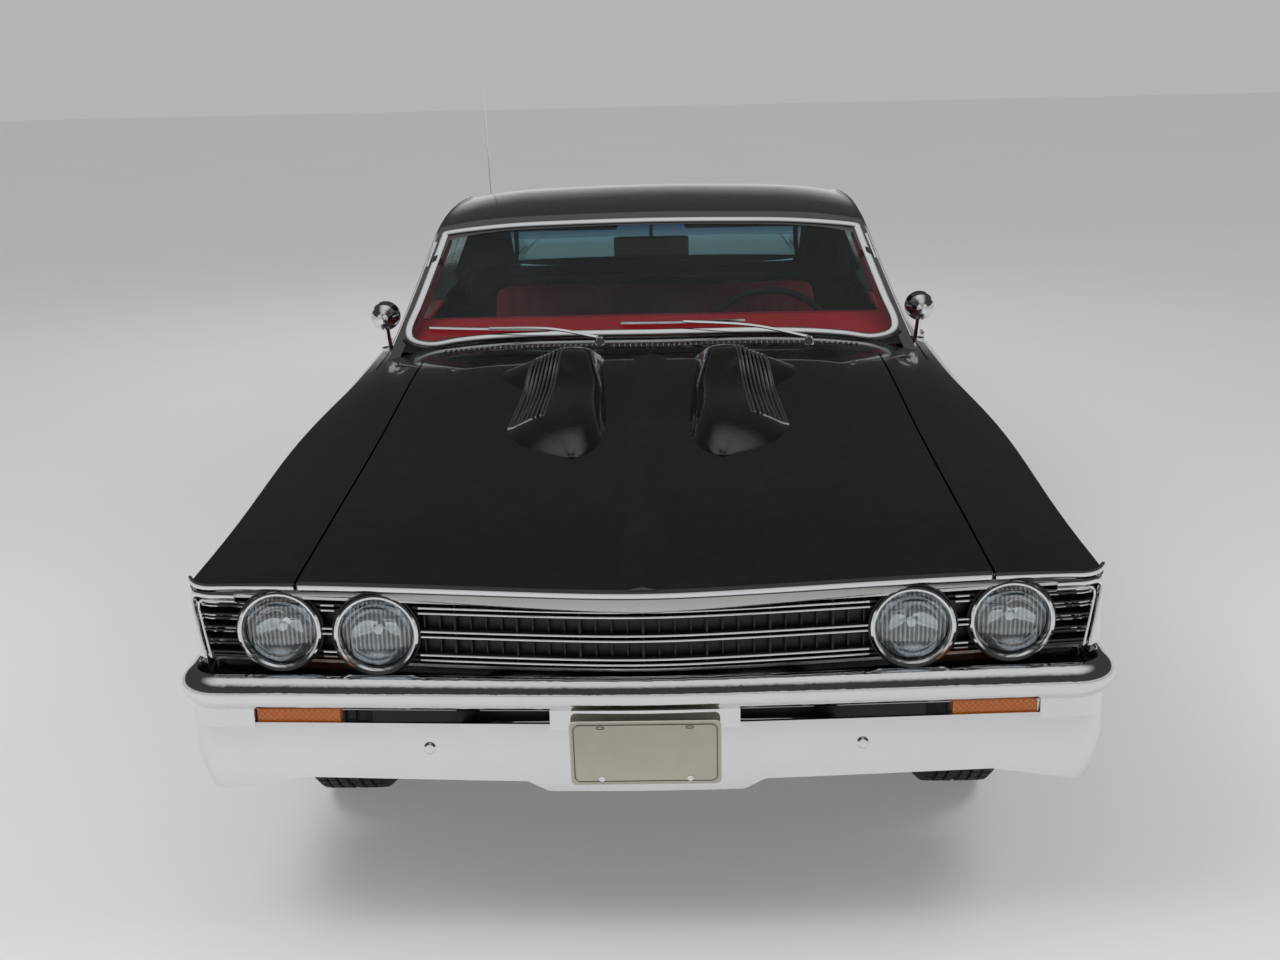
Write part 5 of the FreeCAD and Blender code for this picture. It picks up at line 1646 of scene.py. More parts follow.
@dataclass
class Pad:
    """One upholstered block, given by its outline seen from the side."""

    name: str
    outline: Line
    low_x: float
    high_x: float
    face: Vector
    channels: Tuple[float, ...] = ()
    voxel: float = 9.0
    cap: float = 16.0
    ends: float = 0.105
    taper: float = 0.0

    def shape(self) -> Piece:
        """Return the pad's soft form, before its seams.

        Returns:
            The unsewn pad.
        """
        pad = Piece(self.name)
        smooth = [at(0, y, z) for y, z in self.outline]
        smooth = curve_through(smooth + [smooth[0]], 7)[:-1]
        middle = sum(smooth, Vector()) / len(smooth)
        count = 44
        rings = []
        for i in range(count + 1):
            s = 2 * i / count - 1
            shrink = 1 - self.ends + self.ends * (1 - abs(s) ** 6) ** 0.45
            centre, half = (self.low_x + self.high_x) / 2, (self.high_x - self.low_x) / 2
            rings.append([at(centre + s * half * (1 - self.taper * max(0.0, p.z - middle.z) / 260),
                                  middle.y + (p.y - middle.y) * shrink, middle.z + (p.z - middle.z) * shrink)
                          for p in smooth])
        return pad.skin(rings)

    def build(self, body: str, replaces: Sequence[str] = ()) -> None:
        """Swell the form, sew its channels and dress it.

        Args:
            body: the body it rides on.
            replaces: CAD nodes it stands for.
        """
        pad = self.shape()
        pad.swell(self.voxel, self.cap)
        pad.press(self.sewn)
        made = pad.ready(SEAT, body, rounds=1, angle=75, replaces=replaces)

    def sewn(self, place: Vector, normal: Vector) -> float:
        """Return how deep a point of the pad's face is drawn in by its seams, in millimetres.

        Args:
            place: a point of the pad.
            normal: the way it faces.

        Returns:
            The depth.
        """
        facing = max(0.0, normal.dot(self.face))
        depth = 0.0
        for x in self.channels:
            depth = max(depth, exp(-((place.x - x) / 7.0) ** 2))
        return depth * 7.5 * facing


@dataclass
class Cabin:
    """Seats, steering wheel, dash fittings and linings."""

    seat_x: float = 372.0
    carpet_z: float = 296.4
    tunnel_radius: float = 156.0
    panel_y: float = -568.0
    wheel_centre: Vector = field(default_factory=lambda: at(365, -345, 875))
    wheel_tilt: float = 25.0
    wheel_radius: float = 196.0

    def build(self) -> None:
        """Make everything inside the cabin."""
        self.seats()
        self.wheel()
        self.dash()
        self.linings()
        self.inside_mirror()

    def seats(self) -> None:
        """Make both bucket seats and the rear bench."""
        cushion = [(-318, 392), (-330, 440), (-334, 500), (-290, 534), (-100, 527), (80, 508), (128, 462),
                   (134, 392)]
        back = [(78, 470), (104, 560), (140, 760), (168, 975), (198, 1004), (228, 985), (236, 890), (216, 700),
                (196, 560), (150, 460)]
        bases, rails, hinges = Piece("seat_bases"), Piece("seat_runners"), Piece("seat_hinge_covers")
        for side in Side:
            name = side.name.lower()
            x = side.value * self.seat_x
            seams = tuple(x + d for d in (-168, -112, -56, 0, 56, 112, 168))
            first = ("front_seats",) if side is Side.LEFT else ()
            Pad("seat_cushion_" + name, cushion, x - 232, x + 232, at(0, 0, 1), seams).build(CHASSIS, first)
            Pad("seat_back_" + name, back, x - 218, x + 218, at(0, -0.97, 0.25), seams, ends=0.15,
                taper=0.13).build(CHASSIS)
            bases.slab((x - 168, -262, 318), (x + 168, 86, 388))
            for d in (-130, 130):
                rails.slab((x + d - 14, -270, 296.5), (x + d + 14, 88, 319))
            for d in (-233, 233):
                hinges.lathe([(-4, 0), (-4, 34), (0, 37), (3, 34), (6, 20), (6.5, 0)], at(x + d, 120, 470),
                             at(copysign(1, d), 0, 0), 32)
        bases.ready(DARK, bevel=6)
        rails.ready(IRON, bevel=1.5)
        hinges.ready(CHROME)
        low = [(590, 330), (566, 420), (566, 470), (606, 494), (740, 482), (820, 470), (846, 440), (836, 350)]
        high = [(822, 500), (842, 560), (880, 720), (920, 874), (944, 889), (966, 874), (958, 720), (930, 480),
                (880, 440)]
        seams = tuple(-480 + 80 * i for i in range(13))
        Pad("rear_cushion", low, -566, 566, at(0, 0, 1), seams, 12.0).build(CHASSIS, ("rear_seat",))
        Pad("rear_back", high, -566, 566, at(0, -0.95, 0.3), seams, 12.0).build(CHASSIS)

    def wheel(self) -> None:
        """Make the steering wheel with its notched rim, slotted spokes whose holes are dark discs of painted shade,
        and horn cap.
        """
        tilt = radians(self.wheel_tilt)
        axis = at(0, -cos(tilt), -sin(tilt))
        down = ACROSS.cross(axis)
        rim = Piece("steering_rim")
        rings = []
        for i in range(216):
            a = 2 * pi * i / 216
            out = ACROSS * cos(a) + down * sin(a)
            notch = 1.4 * sin(a * 36)
            ring = []
            for j in range(12):
                b = 2 * pi * j / 12
                r = 11.2 + (notch if cos(b) < 0.2 else 0)
                ring.append(self.wheel_centre + out * (self.wheel_radius + r * cos(b)) + axis * (r * sin(b)))
            rings.append(ring)
        rim.skin(rings, looped=True).ready(DARK, "steering_wheel", replaces=("steering_wheel",))
        spokes, hole_shades = Piece("steering_spokes"), Piece("steering_spoke_hole_shades")
        for degrees in (0, 180, 270 if down.z > 0 else 90):
            a = radians(degrees)
            out = ACROSS * cos(a) + down * sin(a)
            path = [self.wheel_centre + axis * (40 - 38 * t) + out * (34 + 156 * t) for t in (0, 0.25, 0.6, 1.0)]
            spokes.sweep(curve_through(path, 4), [(-17, -1.6), (17, -1.6), (17, 1.6), (-17, 1.6)], -axis)
            # Thin dark discs on the solid spokes paint the shade of their holes.
            for t in (0.3, 0.5, 0.7):
                place = self.wheel_centre + axis * (40 - 38 * t - 1.9) + out * (34 + 156 * t)
                hole_shades.lathe([(0, 0), (0, 8 - 3 * t), (0.5, 8 - 3 * t), (0.5, 0)], place, -axis, 24)
        spokes.ready(CHROME, "steering_wheel", "stainless", bevel=0.8)
        hole_shades.ready(DARK, "steering_wheel")
        hub, cap = Piece("steering_hub"), Piece("horn_cap")
        hub.lathe([(10, 0), (10, 50), (16, 54), (30, 52), (70, 38), (94, 34), (94, 0)], self.wheel_centre, axis, 48)
        cap.lathe([(10, 0), (9.8, 40), (4, 38), (-4, 30), (-8, 16), (-9, 0)], self.wheel_centre, axis, 48)
        hub.ready(DARK, "steering_wheel")
        cap.ready(CHROME, "steering_wheel")

    def dash(self) -> None:
        """Pad the dash and fit dials, knobs, a bright band and the glove box's outline."""
        rows = []
        for x in range(-704, 705, 32):
            start = glass_y(x, 968) + 30
            rows.append([at(x, start + (-600 - start) * t, 962 + 46 * t ** 1.15) for t in
                         (0, 0.15, 0.3, 0.45, 0.6, 0.75, 0.9, 1)])
        Piece("dash_pad").sheet(rows, at(0, 0, -26)).ready(LIT_PADDED_RED, angle=50)
        Piece("dash_roll").sweep([at(x, -584, 990) for x in range(-704, 705, 32)],
                                 [(a * 30, b * 21) for a, b in circle(1, 16)], UP).ready(SEAT, slot="dash_red")
        band = Piece("dash_band")
        band.slab((-708, -582, 864), (168, -571.5, 896))
        band.slab((562, -582, 864), (708, -571.5, 896))
        band.ready(BRIGHT, bevel=2)
        Piece("instrument_panel").slab((172, -600, 800), (558, -568, 932)).ready(DARK, bevel=5)
        rims, faces, marks, needles = (Piece("dial_rims"), Piece("dial_faces"), Piece("dial_marks"),
                                       Piece("dial_needles"))
        out = BACKWARD
        for x, z, r in ((270, 868, 50), (365, 868, 36), (460, 868, 50), (205, 868, 15), (525, 868, 15)):
            place = at(x, self.panel_y, z)
            rims.lathe([(0, r), (5, r), (6, r - 2), (5, r - 4), (1.2, r - 5), (0.4, r - 5)], place, out, 48)
            faces.lathe([(0.2, 0), (0.2, r - 4), (1.0, r - 4), (1.0, 0)], place, out, 48)
            for i in range(13):
                a = radians(-130 + 260 * i / 12)
                turn = Matrix.Rotation(-a, 3, "Y")
                marks.slab((x - 0.7, -567.2, z + r - 13), (x + 0.7, -566.2, z + r - 7), turn, place)
            needles.slab((x - 0.9, -566.4, z - 4), (x + 0.9, -565.2, z + r - 14), Matrix.Rotation(0.9, 3, "Y"),
                         place)
        rims.ready(CHROME)
        faces.ready(HEADLINER)
        marks.ready(CREAM)
        needles.ready(AMBER)
        knobs = Piece("dash_knobs")
        for x, z in ((200, 822), (240, 822), (500, 822), (540, 822), (-60, 842), (60, 842), (0, 842)):
            y = self.panel_y if x > 150 else self.panel_y - 24
            knobs.lathe([(-6, 0), (-6, 6), (4, 6), (6, 9), (14, 9.5), (17, 7), (18, 0)], at(x, y, z), out, 20)
        knobs.ready(CHROME)
        loop = [at(x, self.face_y(z), z) for x, z in ((-620, 786), (-300, 786), (-290, 796), (-290, 846),
                                                            (-300, 856), (-620, 856), (-630, 846), (-630, 796))]
        Piece("glove_box_edge").sweep(loop, [(-1.4, -1), (1.4, -1), (1.4, 0.8), (-1.4, 0.8)], at(0, 1, -0.4),
                                      looped=True).ready(DARK)

    def face_y(self, z: float) -> float:
        """Return the dash's face at a height."""
        return -580 + (z - 880) * 0.5 if z < 880 else -580 + (z - 880) / 12

    def linings(self) -> None:
        """Lay the carpet, close the trunk, hang the headliner and trim the pillars."""
        upper = [(-770.0, 0.0), (-158.0, 0.0)]
        upper += [(-cos(radians(a)) * self.tunnel_radius, sin(radians(a)) * self.tunnel_radius)
                  for a in range(8, 173, 12)]
        upper += [(158.0, 0.0), (770.0, 0.0)]
        rows = [[at(x, y, self.carpet_z + z) for x, z in upper] for y in range(-905, 566, 30)]
        Piece("carpet").sheet(rows, at(0, 0, -4)).ready(CARPET, angle=60)
        rows = [[at(x, y, z) for y, z in ((984, 874), (974, 720), (948, 480), (900, 436))]
                for x in range(-576, 577, 64)]
        Piece("trunk_divider").sheet(rows, at(0, 3, 0)).ready(HEADLINER, angle=60)
        rows = [[at(x, y, z) for x, z in ((574, 426), (592, 418), (606, 372), (628, 354), (862, 350), (880, 356))]
                for y in range(1662, 2351, 43)]
        Piece("trunk_wells").sheet(rows, at(0, 0, -2)).mirror().ready(FRAME_BLACK, angle=50)
        roof = Skin("body_shell")
        rows = []
        for y in range(-340, 661, 50):
            half = along(DRIP_X, y) - 60
            row = []
            for i in range(17):
                x = half * (i / 8 - 1)
                found = roof.hit(at(x, y, 1000), at(0, 0, 1))
                row.append(at(x, y, (found.z if found else along(ROOF_Z, y) - 40) - 2))
            rows.append(row)
        Piece("headliner").sheet(rows, at(0, 0, -5)).ready(HEADLINER, angle=60)
        pillars = Piece("pillar_trims")
        for side in Side:
            path = []
            for z in (985, 1030, 1090, 1160, 1230):
                y = glass_y(690, z) + 34
                path.append(at(side.value * (roof_side_x(y, z) - PILLAR - 8), y, z))
            pillars.sweep(curve_through(path, 4), rounded(34, 7, 2), at(-side.value, -0.2, 0.3))
        pillars.ready(SEAT, slot="dash_red")
        visors = Piece("sun_visors")
        for side in Side:
            x = side.value * 330
            visors.slab((x - 225, -372, 1246), (x + 225, -262, 1255), Matrix.Rotation(radians(4), 3, "X"),
                        at(x, -320, 1250))
        visors.ready(HEADLINER, bevel=6)

    def inside_mirror(self) -> None:
        """Give the inside mirror its glass and rim."""
        glass, rim = Piece("inside_mirror_glass"), Piece("inside_mirror_rim")
        glass.slab((-111, -352.2, 1163), (111, -350.4, 1213)).ready(MIRROR)
        loop = [at(x, -351, z) for x, z in ((-104, 1160), (104, 1160), (114, 1168), (114, 1208), (104, 1216),
                                                  (-104, 1216), (-114, 1208), (-114, 1168))]
        rim.sweep(loop, circle(2.8, 8), BACKWARD, looped=True).ready(DARK)


@dataclass
class Doors:
    """Handles, locks, mirror glass and inner panels of both doors."""

    handle_y: float = 70.0
    handle_z: float = 806.0
    handle_length: float = 150.0
    handle_reach: float = 19.0
    mirror_x: float = 811.0
    mirror_y: float = -600.0
    mirror_z: float = 1019.0

    def build(self) -> None:
        """Fit out each door."""
        for side in Side:
            name = side.name.lower()
            body = "door_" + name
            skin = Skin(body)
            self.handle(side, name, body, skin)
            self.panel(side, name, body, skin)
            place = at(side.value * self.mirror_x, self.mirror_y, self.mirror_z)
            Piece("mirror_glass_" + name).lathe([(38.2, 0), (38.2, 37), (39.4, 37), (40.0, 0)], place, BACKWARD,
                                                40).ready(MIRROR, body)

    def handle(self, side: Side, name: str, body: str, skin: Skin) -> None:
        """Make the outside handle and the lock below it.

        Args:
            side: the door's side.
            name: that side's name.
            body: the door's body.
            skin: the door's packed surface.
        """
        grip, lock = Piece("door_handle_" + name), Piece("door_lock_" + name)
        path = [skin.flank(side, self.handle_y + self.handle_length * i / 14, self.handle_z,
                           1 + self.handle_reach * sin(pi * i / 14) ** 0.6) for i in range(15)]
        grip.sweep(path, [(-7, -3), (7, -3), (8, 0), (6, 3.4), (-6, 3.4), (-8, 0)], at(side.value, 0, 0.2))
        for y in (self.handle_y + 6, self.handle_y + self.handle_length - 6):
            grip.lathe([(-3, 0), (-3, 14), (2, 13), (5, 9), (5, 0)], skin.flank(side, y, self.handle_z),
                       at(side.value, 0, 0.2), 24)
        grip.ready(CHROME, body)
        place = skin.flank(side, self.handle_y + 136, self.handle_z - 36)
        lock.lathe([(-2, 0), (-2, 11), (1.5, 11), (3, 8), (2.4, 3), (2.4, 0)], place, at(side.value, 0, 0.1), 24)
        lock.ready(CHROME, body)

    def panel(self, side: Side, name: str, body: str, skin: Skin) -> None:
        """Line the door with a red panel, an arm rest, a crank and a top rail.

        Args:
            side: the door's side.
            name: that side's name.
            body: the door's body.
            skin: the door's packed surface.
        """
        rows = []
        for i in range(19):
            y = -610 + 46.5 * i
            row = []
            for j in range(13):
                z = 345 + 38 * j
                found = skin.hit(at(0, y, z), at(side.value, 0, 0))
                x = found.x if found else side.value * 800
                pleat = 3.0 * abs(sin(j * pi / 2)) if 2 < j < 9 else 0
                row.append(at(x - side.value * (3 + pleat), y, z))
            rows.append(row)
        Piece("door_panel_" + name).sheet(rows, at(side.value * 2.5, 0, 0)).ready(SEAT, body, rounds=1)
        rest = Piece("arm_rest_" + name)
        inner = skin.hit(at(0, -40, 640), at(side.value, 0, 0))
        x = inner.x if inner else side.value * 840
        rest.slab((min(x, x - side.value * 62), -230, 610), (max(x, x - side.value * 62), 150, 650))
        rest.ready(SEAT, body, bevel=14)
        crank = Piece("window_crank_" + name)
        hub = skin.hit(at(0, -330, 600), at(side.value, 0, 0))
        place = hub if hub else at(side.value * 850, -330, 600)
        inward = at(-side.value, 0, 0)
        crank.lathe([(0, 0), (0, 18), (14, 15), (16, 10), (16, 0)], place, inward, 28)
        crank.sweep([place + inward * 14, place + inward * 20 + at(0, 70, -40)],
                    [(-6, -2.5), (6, -2.5), (6, 2.5), (-6, 2.5)], inward)
        crank.lathe([(18, 0), (18, 9), (34, 11), (44, 9), (46, 0)], place + at(0, 70, -40), inward, 20)
        crank.ready(CHROME, body)
        rail = Piece("door_top_" + name)
        path = [skin.top(side.value * (along(GLASS_FOOT_X, y) - 58), y, 0.5) for y in range(-610, 240, 50)]
        rail.sweep(path, rounded(20, 9, 1), UP).ready(LIT_PADDED_RED, body)


@dataclass
class Tail:
    """Lamp frames, trunk lock, lid moulding, bumper bolts and exhaust tips."""

    panel_y: float = 2430.0
    slope: float = 0.04
    half: float = 956.5
    corner: float = 80.0
    reach: float = 79.5
    lamp_x: float = 560.0
    lamp_z: Tuple[float, float] = (660.0, 764.0)

    def line(self, start: float, z: float, back: float, lift: float) -> List[Vector]:
        """Return the tail's plan line from a place out and round the corner, on the left side.

        Args:
            start: where it starts across.
            z: its height.
            back: where it ends along the car.
            lift: how far it stands off the panel.

        Returns:
            Points from the middle round to the side.
        """
        straight = self.half - self.corner
        points = []
        for i in range(9):
            x = start + (straight - start) * i / 8
            points.append(at(x, self.panel_y - self.slope * (sqrt(x * x + NOSE_BLEND ** 2) - NOSE_BLEND) + lift, z))
        centre_y = points[-1].y - lift - self.corner
        points += [at(straight + self.reach * sin(a), centre_y + (self.corner + lift) * cos(a), z)
                   for a in (radians(11.25 * i) for i in range(1, 9))]
        points.append(at(straight + self.reach, back, z))
        return points

    def build(self) -> None:
        """Make the tail's bright work."""
        frames = Piece("tail_lamp_frames")
        section = [(-4, -3.5), (3, -3.5), (4.4, -1.5), (4.4, 1.5), (3, 3.5), (-4, 3.5)]
        for z in (self.lamp_z[0] - 3, self.lamp_z[1] + 3, sum(self.lamp_z) / 2):
            frames.sweep(self.line(self.lamp_x - 4, z, 2202, 4.5), [(-a, b) for a, b in section], UP)
        for x in (self.lamp_x - 3.5, 684, 808):
            p = self.line(x, self.lamp_z[0], 2202, 4.5)[0]
            frames.sweep([p, at(p.x, p.y, self.lamp_z[1])], section, at(1, 0, 0))
        end = self.line(700, self.lamp_z[0], 2203, 4.5)[-1]
        frames.sweep([end, at(end.x, end.y, self.lamp_z[1])], section, BACKWARD)
        frames.mirror().ready(CHROME, bevel=0.8)
        strip = Piece("tail_strips")
        for z in (self.lamp_z[0] - 3, self.lamp_z[1] + 3):
            path = [at(p.x, p.y - 2.5, z) for p in self.line(0, z, 2300, 4.5)[:9] if p.x < self.lamp_x - 6]
            path = path + [at(self.lamp_x - 6, self.line(self.lamp_x - 6, z, 2300, 2)[0].y, z)]
            full = flipped(path[1:]) + path
            strip.sweep(full, [(-3, -3), (3, -3), (3, 3), (-3, 3)], UP)
        strip.ready(CHROME, bevel=0.8)
        back = BACKWARD
        Piece("trunk_lock").lathe([(-2, 0), (-2, 16), (2, 16), (4, 12), (3, 4), (3, 0)], at(0, self.panel_y, 716),
                                  back, 28).ready(CHROME)
        bolts = Piece("rear_bumper_bolts")
        bumper = Skin("rear_bumper")
        for x in (-620, -300, 300, 620):
            hit = bumper.hit(at(x, 2600, 505), FORWARD)
            bolts.lathe([(-1, 0), (-1, 12), (1, 12), (4.5, 8), (5, 0)], hit, back, 24)
        bolts.ready(CHROME)
        tips, soot_and_shade = Piece("exhaust_tips"), Piece("exhaust_tip_soot_and_shade")
        for side in Side:
            centre = at(side.value * 430, 2400, 285)
            tips.lathe([(-90, 27.3), (-90, 31), (-86, 33), (22, 33), (24, 31.5), (22, 30), (1, 29)], centre, back,
                       40)
            # Inside each tip: a dark lining of soot, and a dark plug closing the bore, painted shade of the pipe's
            # inside.
            soot_and_shade.lathe([(0.5, 0), (0.5, 29), (3, 29.5), (20, 29.8), (20, 29.2), (3, 28), (2, 0)], centre, back, 40)
        tips.ready(CHROME)
        soot_and_shade.ready(DARK)


@dataclass
class RunningGear:
    """Coils, dampers, clamps, straps and mounts under the car."""

    coil_x: float = 470.0
    coil_radius: float = 56.0
    coil_foot_z: float = 212.0
    coil_height: float = 250.0
    coil_turns: int = 7

    def build(self) -> None:
        """Make the fittings that show from below and through the arches."""
        coils = Piece("front_coils")
        for side in Side:
            path = []
            for i in range(self.coil_turns * 24 + 1):
                a = 2 * pi * i / 24
                path.append(at(side.value * self.coil_x + self.coil_radius * cos(a),
                               FRONT_AXLE_Y + self.coil_radius * sin(a),
                               self.coil_foot_z + self.coil_height * i / (self.coil_turns * 24)))
            coils.sweep(path, circle(6.4, 10), UP)
        coils.ready(IRON)
        dampers, rods = Piece("rear_dampers"), Piece("rear_damper_rods")
        mounts, clamps, bolts = Piece("body_mounts"), Piece("spring_clamps"), Piece("frame_bolts")
        for side in Side:
            low = at(side.value * 470, REAR_AXLE_Y + 75, 270)
            high = at(side.value * 400, REAR_AXLE_Y + 130, 500)
            way = (high - low).normalized()
            dampers.lathe([(0, 0), (0, 20), (4, 26), (120, 26), (124, 20), (124, 0)], low, way, 28)
            rods.lathe([(120, 0), (120, 7), ((high - low).length, 7), ((high - low).length, 0)], low, way, 16)
            for x, y, z in ((660, -780, 268), (660, 500, 268), (510, 2100, 400)):
                mounts.lathe([(1, 28.5), (1, 36), (8, 38), (15, 36), (15, 28.5)], at(side.value * x, y, z), UP, 28)
            for y in (REAR_AXLE_Y - 24, REAR_AXLE_Y + 24):
                for x in (530, 570):
                    place = at(side.value * x, y, 262)
                    clamps.lathe([(0, 0), (0, 5), (128, 5), (128, 0)], place, UP, 12)
                    clamps.lathe([(4, 0), (4, 9), (11, 9), (11, 0)], place, UP, 6)
            for y in (-2150, -1900, -1480, -1340):
                bolts.lathe([(0, 0), (0, 9), (6, 9), (7, 0)], at(side.value * 375, y, 389.5), UP, 6)
        dampers.ready(FRAME_BLACK)
        rods.ready(CHROME, slot="steel")
        mounts.ready(TYRE, slot="black_plastic")
        clamps.ready(IRON)
        bolts.ready(IRON)
        straps = Piece("tank_straps")
        for side in Side:
            x = side.value * 230
            loop = [at(x, y, z) for y, z in ((1736, 412), (1736, 272), (1752, 255), (2218, 255), (2234, 272),
                                                   (2234, 412))]
            straps.sweep(loop, [(-16, -1.2), (16, -1.2), (16, 1.2), (-16, 1.2)], ACROSS.cross(UP))
        straps.ready(IRON)
        rings = Piece("muffler_seams")
        for side in Side:
            for d in (2, 515):
                rings.lathe([(d - 4, 60), (d - 4, 63.5), (d + 4, 63.5), (d + 4, 60)],
                            at(side.value * 300, 300, 222), BACKWARD, 48)
        rings.ready(PIPE)


@dataclass
class EngineBay:
    """What shows under the open hood, on and around the plain engine block."""

    deck_z: float = 769.0
    cover_x: float = 168.0
    cover_y: Tuple[float, float] = (-1770.0, -1190.0)
    cleaner: Vector = field(default_factory=lambda: at(0, -1340, 812))
    firewall_y: float = -918.0

    def build(self) -> None:
        """Make the top of the engine, the cooling parts, the firewall's fittings and both aprons."""
        self.top()
        self.cooling()
        self.fittings()
        self.aprons()

    def top(self) -> None:
        """Make the valve covers, the manifold, the carburettor, the distributor and the air cleaner."""
        covers, ribs = Piece("valve_covers"), Piece("valve_cover_ribs")
        low, high = self.cover_y
        for side in Side:
            x = side.value * self.cover_x
            covers.sweep([at(x, low + (high - low) * i / 12, self.deck_z) for i in range(13)],
                         [(-66, -2), (66, -2), (66, 6), (58, 8), (52, 34), (38, 44), (-38, 44), (-52, 34), (-58, 8),
                          (-66, 6)], UP)
            for d in (-24, -12, 0, 12, 24):
                ribs.slab((x + d - 1.8, low + 40, self.deck_z + 42), (x + d + 1.8, high - 40, self.deck_z + 46.5))
            for y in range(int(low) + 60, int(high), 115):
                for d in (-62, 62):
                    ribs.lathe([(0, 0), (0, 7), (6, 7), (7, 0)], at(x + d, y, self.deck_z + 5), UP, 6)
        covers.ready(CHROME, bevel=1.5)
        ribs.ready(CHROME)
        manifold = Piece("intake_manifold")
        manifold.slab((-78, -1560, self.deck_z - 2), (78, -1120, self.deck_z + 16))
        for y in (-1530, -1420, -1260, -1150):
            for side in Side:
                manifold.sweep([at(0, y, self.deck_z + 14), at(side.value * 50, y, self.deck_z + 20),
                                at(side.value * 98, y, self.deck_z + 2)], circle(19, 12), BACKWARD)
        manifold.ready(IRON, slot="cast", bevel=3)
        carb = Piece("carburettor")
        carb.slab((-52, -1412, self.deck_z + 14), (52, -1268, self.deck_z + 44))
        carb.lathe([(0, 0), (0, 46), (22, 46), (26, 40), (26, 0)], self.cleaner - UP * 24, UP, 32)
        carb.ready(PIPE, slot="cast", bevel=4)
        lid, band = Piece("air_cleaner_lid"), Piece("air_cleaner_element")
        c = self.cleaner
        lid.lathe([(-2, 0), (-2, 146), (4, 150), (6, 146), (6, 0)], c, UP, 64)
        lid.lathe([(34, 0), (34, 148), (38, 151), (42, 146), (46, 120), (46, 30), (49, 22), (49, 0)], c, UP, 64)
        lid.lathe([(48, 0), (48, 12), (56, 10), (60, 4), (60, 0)], c, UP, 24)
        rings = []
        for i in range(180):
            a = 2 * pi * i / 180
            r = 133 + (3 if i % 2 else -3)
            rings.append([c + at(r * cos(a), r * sin(a), z) for z in (5, 35)])
        band.skin(rings, closed=False, looped=True)
        lid.ready(CHROME)
        band.ready(CREAM, slot="cast", angle=20)
        spark = Piece("distributor")
        spark.lathe([(-4, 0), (-4, 40), (26, 40), (34, 46), (52, 44), (60, 30), (62, 0)], at(0, -1060, self.deck_z),
                    UP, 32)
        for way in wheel_of(8, ACROSS, BACKWARD):
            spark.lathe([(0, 0), (0, 7), (16, 6), (16, 0)], at(0, -1060, self.deck_z + 54) + way * 34, UP, 12)
        spark.ready(DARK)

    def cooling(self) -> None:
        """Make the radiator with its fins and cap, the fan and the pulley."""
        tank, core = Piece("radiator"), Piece("radiator_fins")
        tank.slab((-335, -2152, 690), (335, -2092, 738))
        tank.slab((-335, -2152, 420), (335, -2092, 452))
        tank.lathe([(0, 0), (0, 24), (10, 24), (12, 20), (20, 20), (22, 0)], at(-180, -2122, 738), UP, 24)
        for i in range(44):
            x = -330 + 15.3 * i
            core.slab((x, -2148, 452), (x + 2.4, -2096, 690))
        for i in range(16):
            core.slab((-333, -2146, 458 + 15 * i), (333, -2098, 460 + 15 * i))
        tank.ready(DARK, bevel=4)
        core.ready(DARK)
        fan = Piece("cooling_fan")
        middle = at(0, -1905, 560)
        fan.lathe([(-20, 0), (-20, 40), (-8, 46), (20, 46), (50, 30), (54, 0)], middle, BACKWARD, 32)
        for i in range(6):
            turn = Matrix.Rotation(radians(60 * i), 3, "Y")
            pitch = Matrix.Rotation(radians(26), 3, "Z")
            ends = []
            for z, half in ((36, 20), (90, 34), (150, 42), (196, 40)):
                ends.append([middle + turn @ (at(0, 0, z) + pitch @ at(x, y, 0)) for x,
                             y in ((-half, -1), (half, -1), (half, 1), (-half, 1))])
            fan.skin(ends)
        fan.ready(WHEEL_SILVER)

    def fittings(self) -> None:
        """Make the brake booster and its cylinder, the heater box and the battery."""
        back = FORWARD
        wall = at(392, self.firewall_y, 650)
        Piece("brake_booster").lathe([(-1, 0), (-1, 60), (10, 92), (18, 104), (40, 106), (46, 100), (78, 84),
                                      (86, 50), (88, 0)], wall, back, 48).ready(DARK)
        cylinder = Piece("master_cylinder")
        cylinder.lathe([(84, 0), (84, 44), (92, 44), (94, 26), (200, 26), (206, 20), (206, 0)], wall, back, 32)
        cylinder.slab((362, -1120, 668), (422, -1010, 712))
        cylinder.slab((358, -1124, 711), (426, -1006, 718))
        cylinder.ready(IRON, slot="cast", bevel=3)
        heater = Piece("heater_box")
        heater.slab((-470, -1012, 560), (-190, self.firewall_y + 1, 780))
        heater.lathe([(90, 0), (90, 72), (128, 70), (134, 60), (134, 0)], at(-330, self.firewall_y, 668), back, 40)
        heater.ready(DARK, bevel=12)
        battery, posts = Piece("battery"), Piece("battery_posts")
        battery.slab((-628, -2136, 660), (-462, -2000, 772))
        for i in range(6):
            battery.lathe([(0, 0), (0, 9), (5, 8), (5, 0)], at(-600 + 22 * i, -2068, 772), UP, 16)
        posts.lathe([(0, 0), (0, 9), (14, 8), (14, 0)], at(-606, -2030, 771), UP, 16)
        posts.lathe([(0, 0), (0, 9), (14, 8), (14, 0)], at(-484, -2030, 771), UP, 16)
        posts.slab((-632, -2074, 764), (-458, -2062, 775))
        battery.ready(DARK, bevel=3)
        posts.ready(WHEEL_SILVER, bevel=1)

    def aprons(self) -> None:
        """Fold the inner fender aprons from the fenders' flanges over the wheels to the frame."""
        skin = Skin("fender_left", "body_shell")
        rows = []
        for i in range(45):
            y = -2284 + 29.5 * i
            edge = min(866.0, (skin.hit(at(600, y, 735), ACROSS) or at(880, 0, 0)).x - 14)
            rise = body_top(690, y) - 48
            rows.append([at(x, y, z) for x, z in
                         ((edge, 716), (780, 728), (694, rise), (686, rise), (650, 738), (560, 712), (490, 682),
                          (452, 622), (440, 530))])
        Piece("fender_aprons").sheet(rows, at(-1.5, 0, 2.5)).mirror().ready(FRAME_BLACK, angle=50)


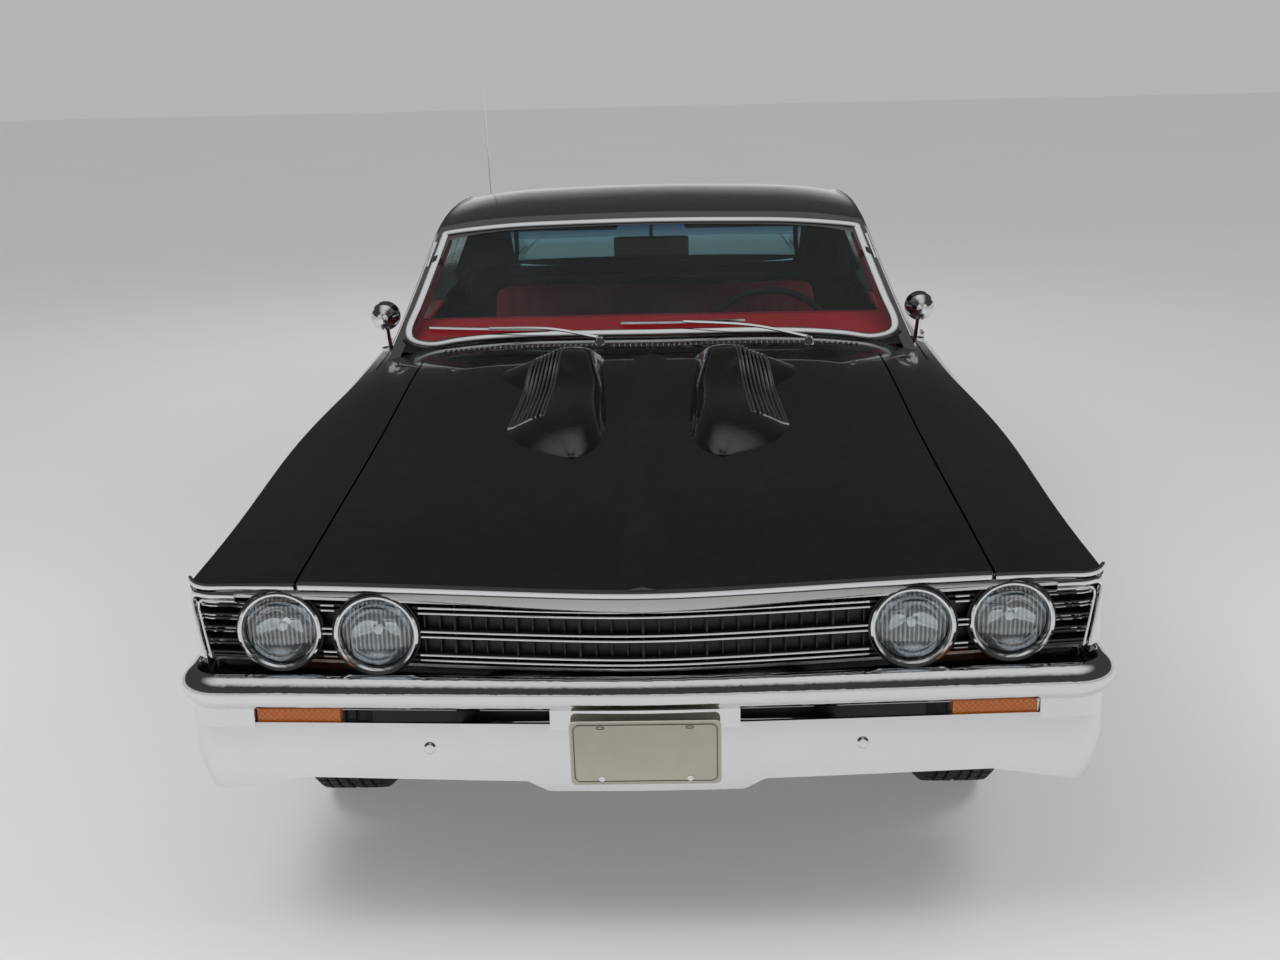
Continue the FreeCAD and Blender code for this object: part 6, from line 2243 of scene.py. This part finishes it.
def main() -> None:
    """Build the car's looks, class by class."""
    logging.basicConfig(level=logging.INFO, format="%(message)s")
    for part in (Studio(), PackedNodes(), Cabin(), HoodDress(), Nose(), Bumpers(), Glazing(), Wipers(), Wheels(),
                 Doors(), Tail(), RunningGear(), EngineBay()):
        part.build()
        LOG.info("built %s", type(part).__name__)


if __name__ == "__main__":
    main()
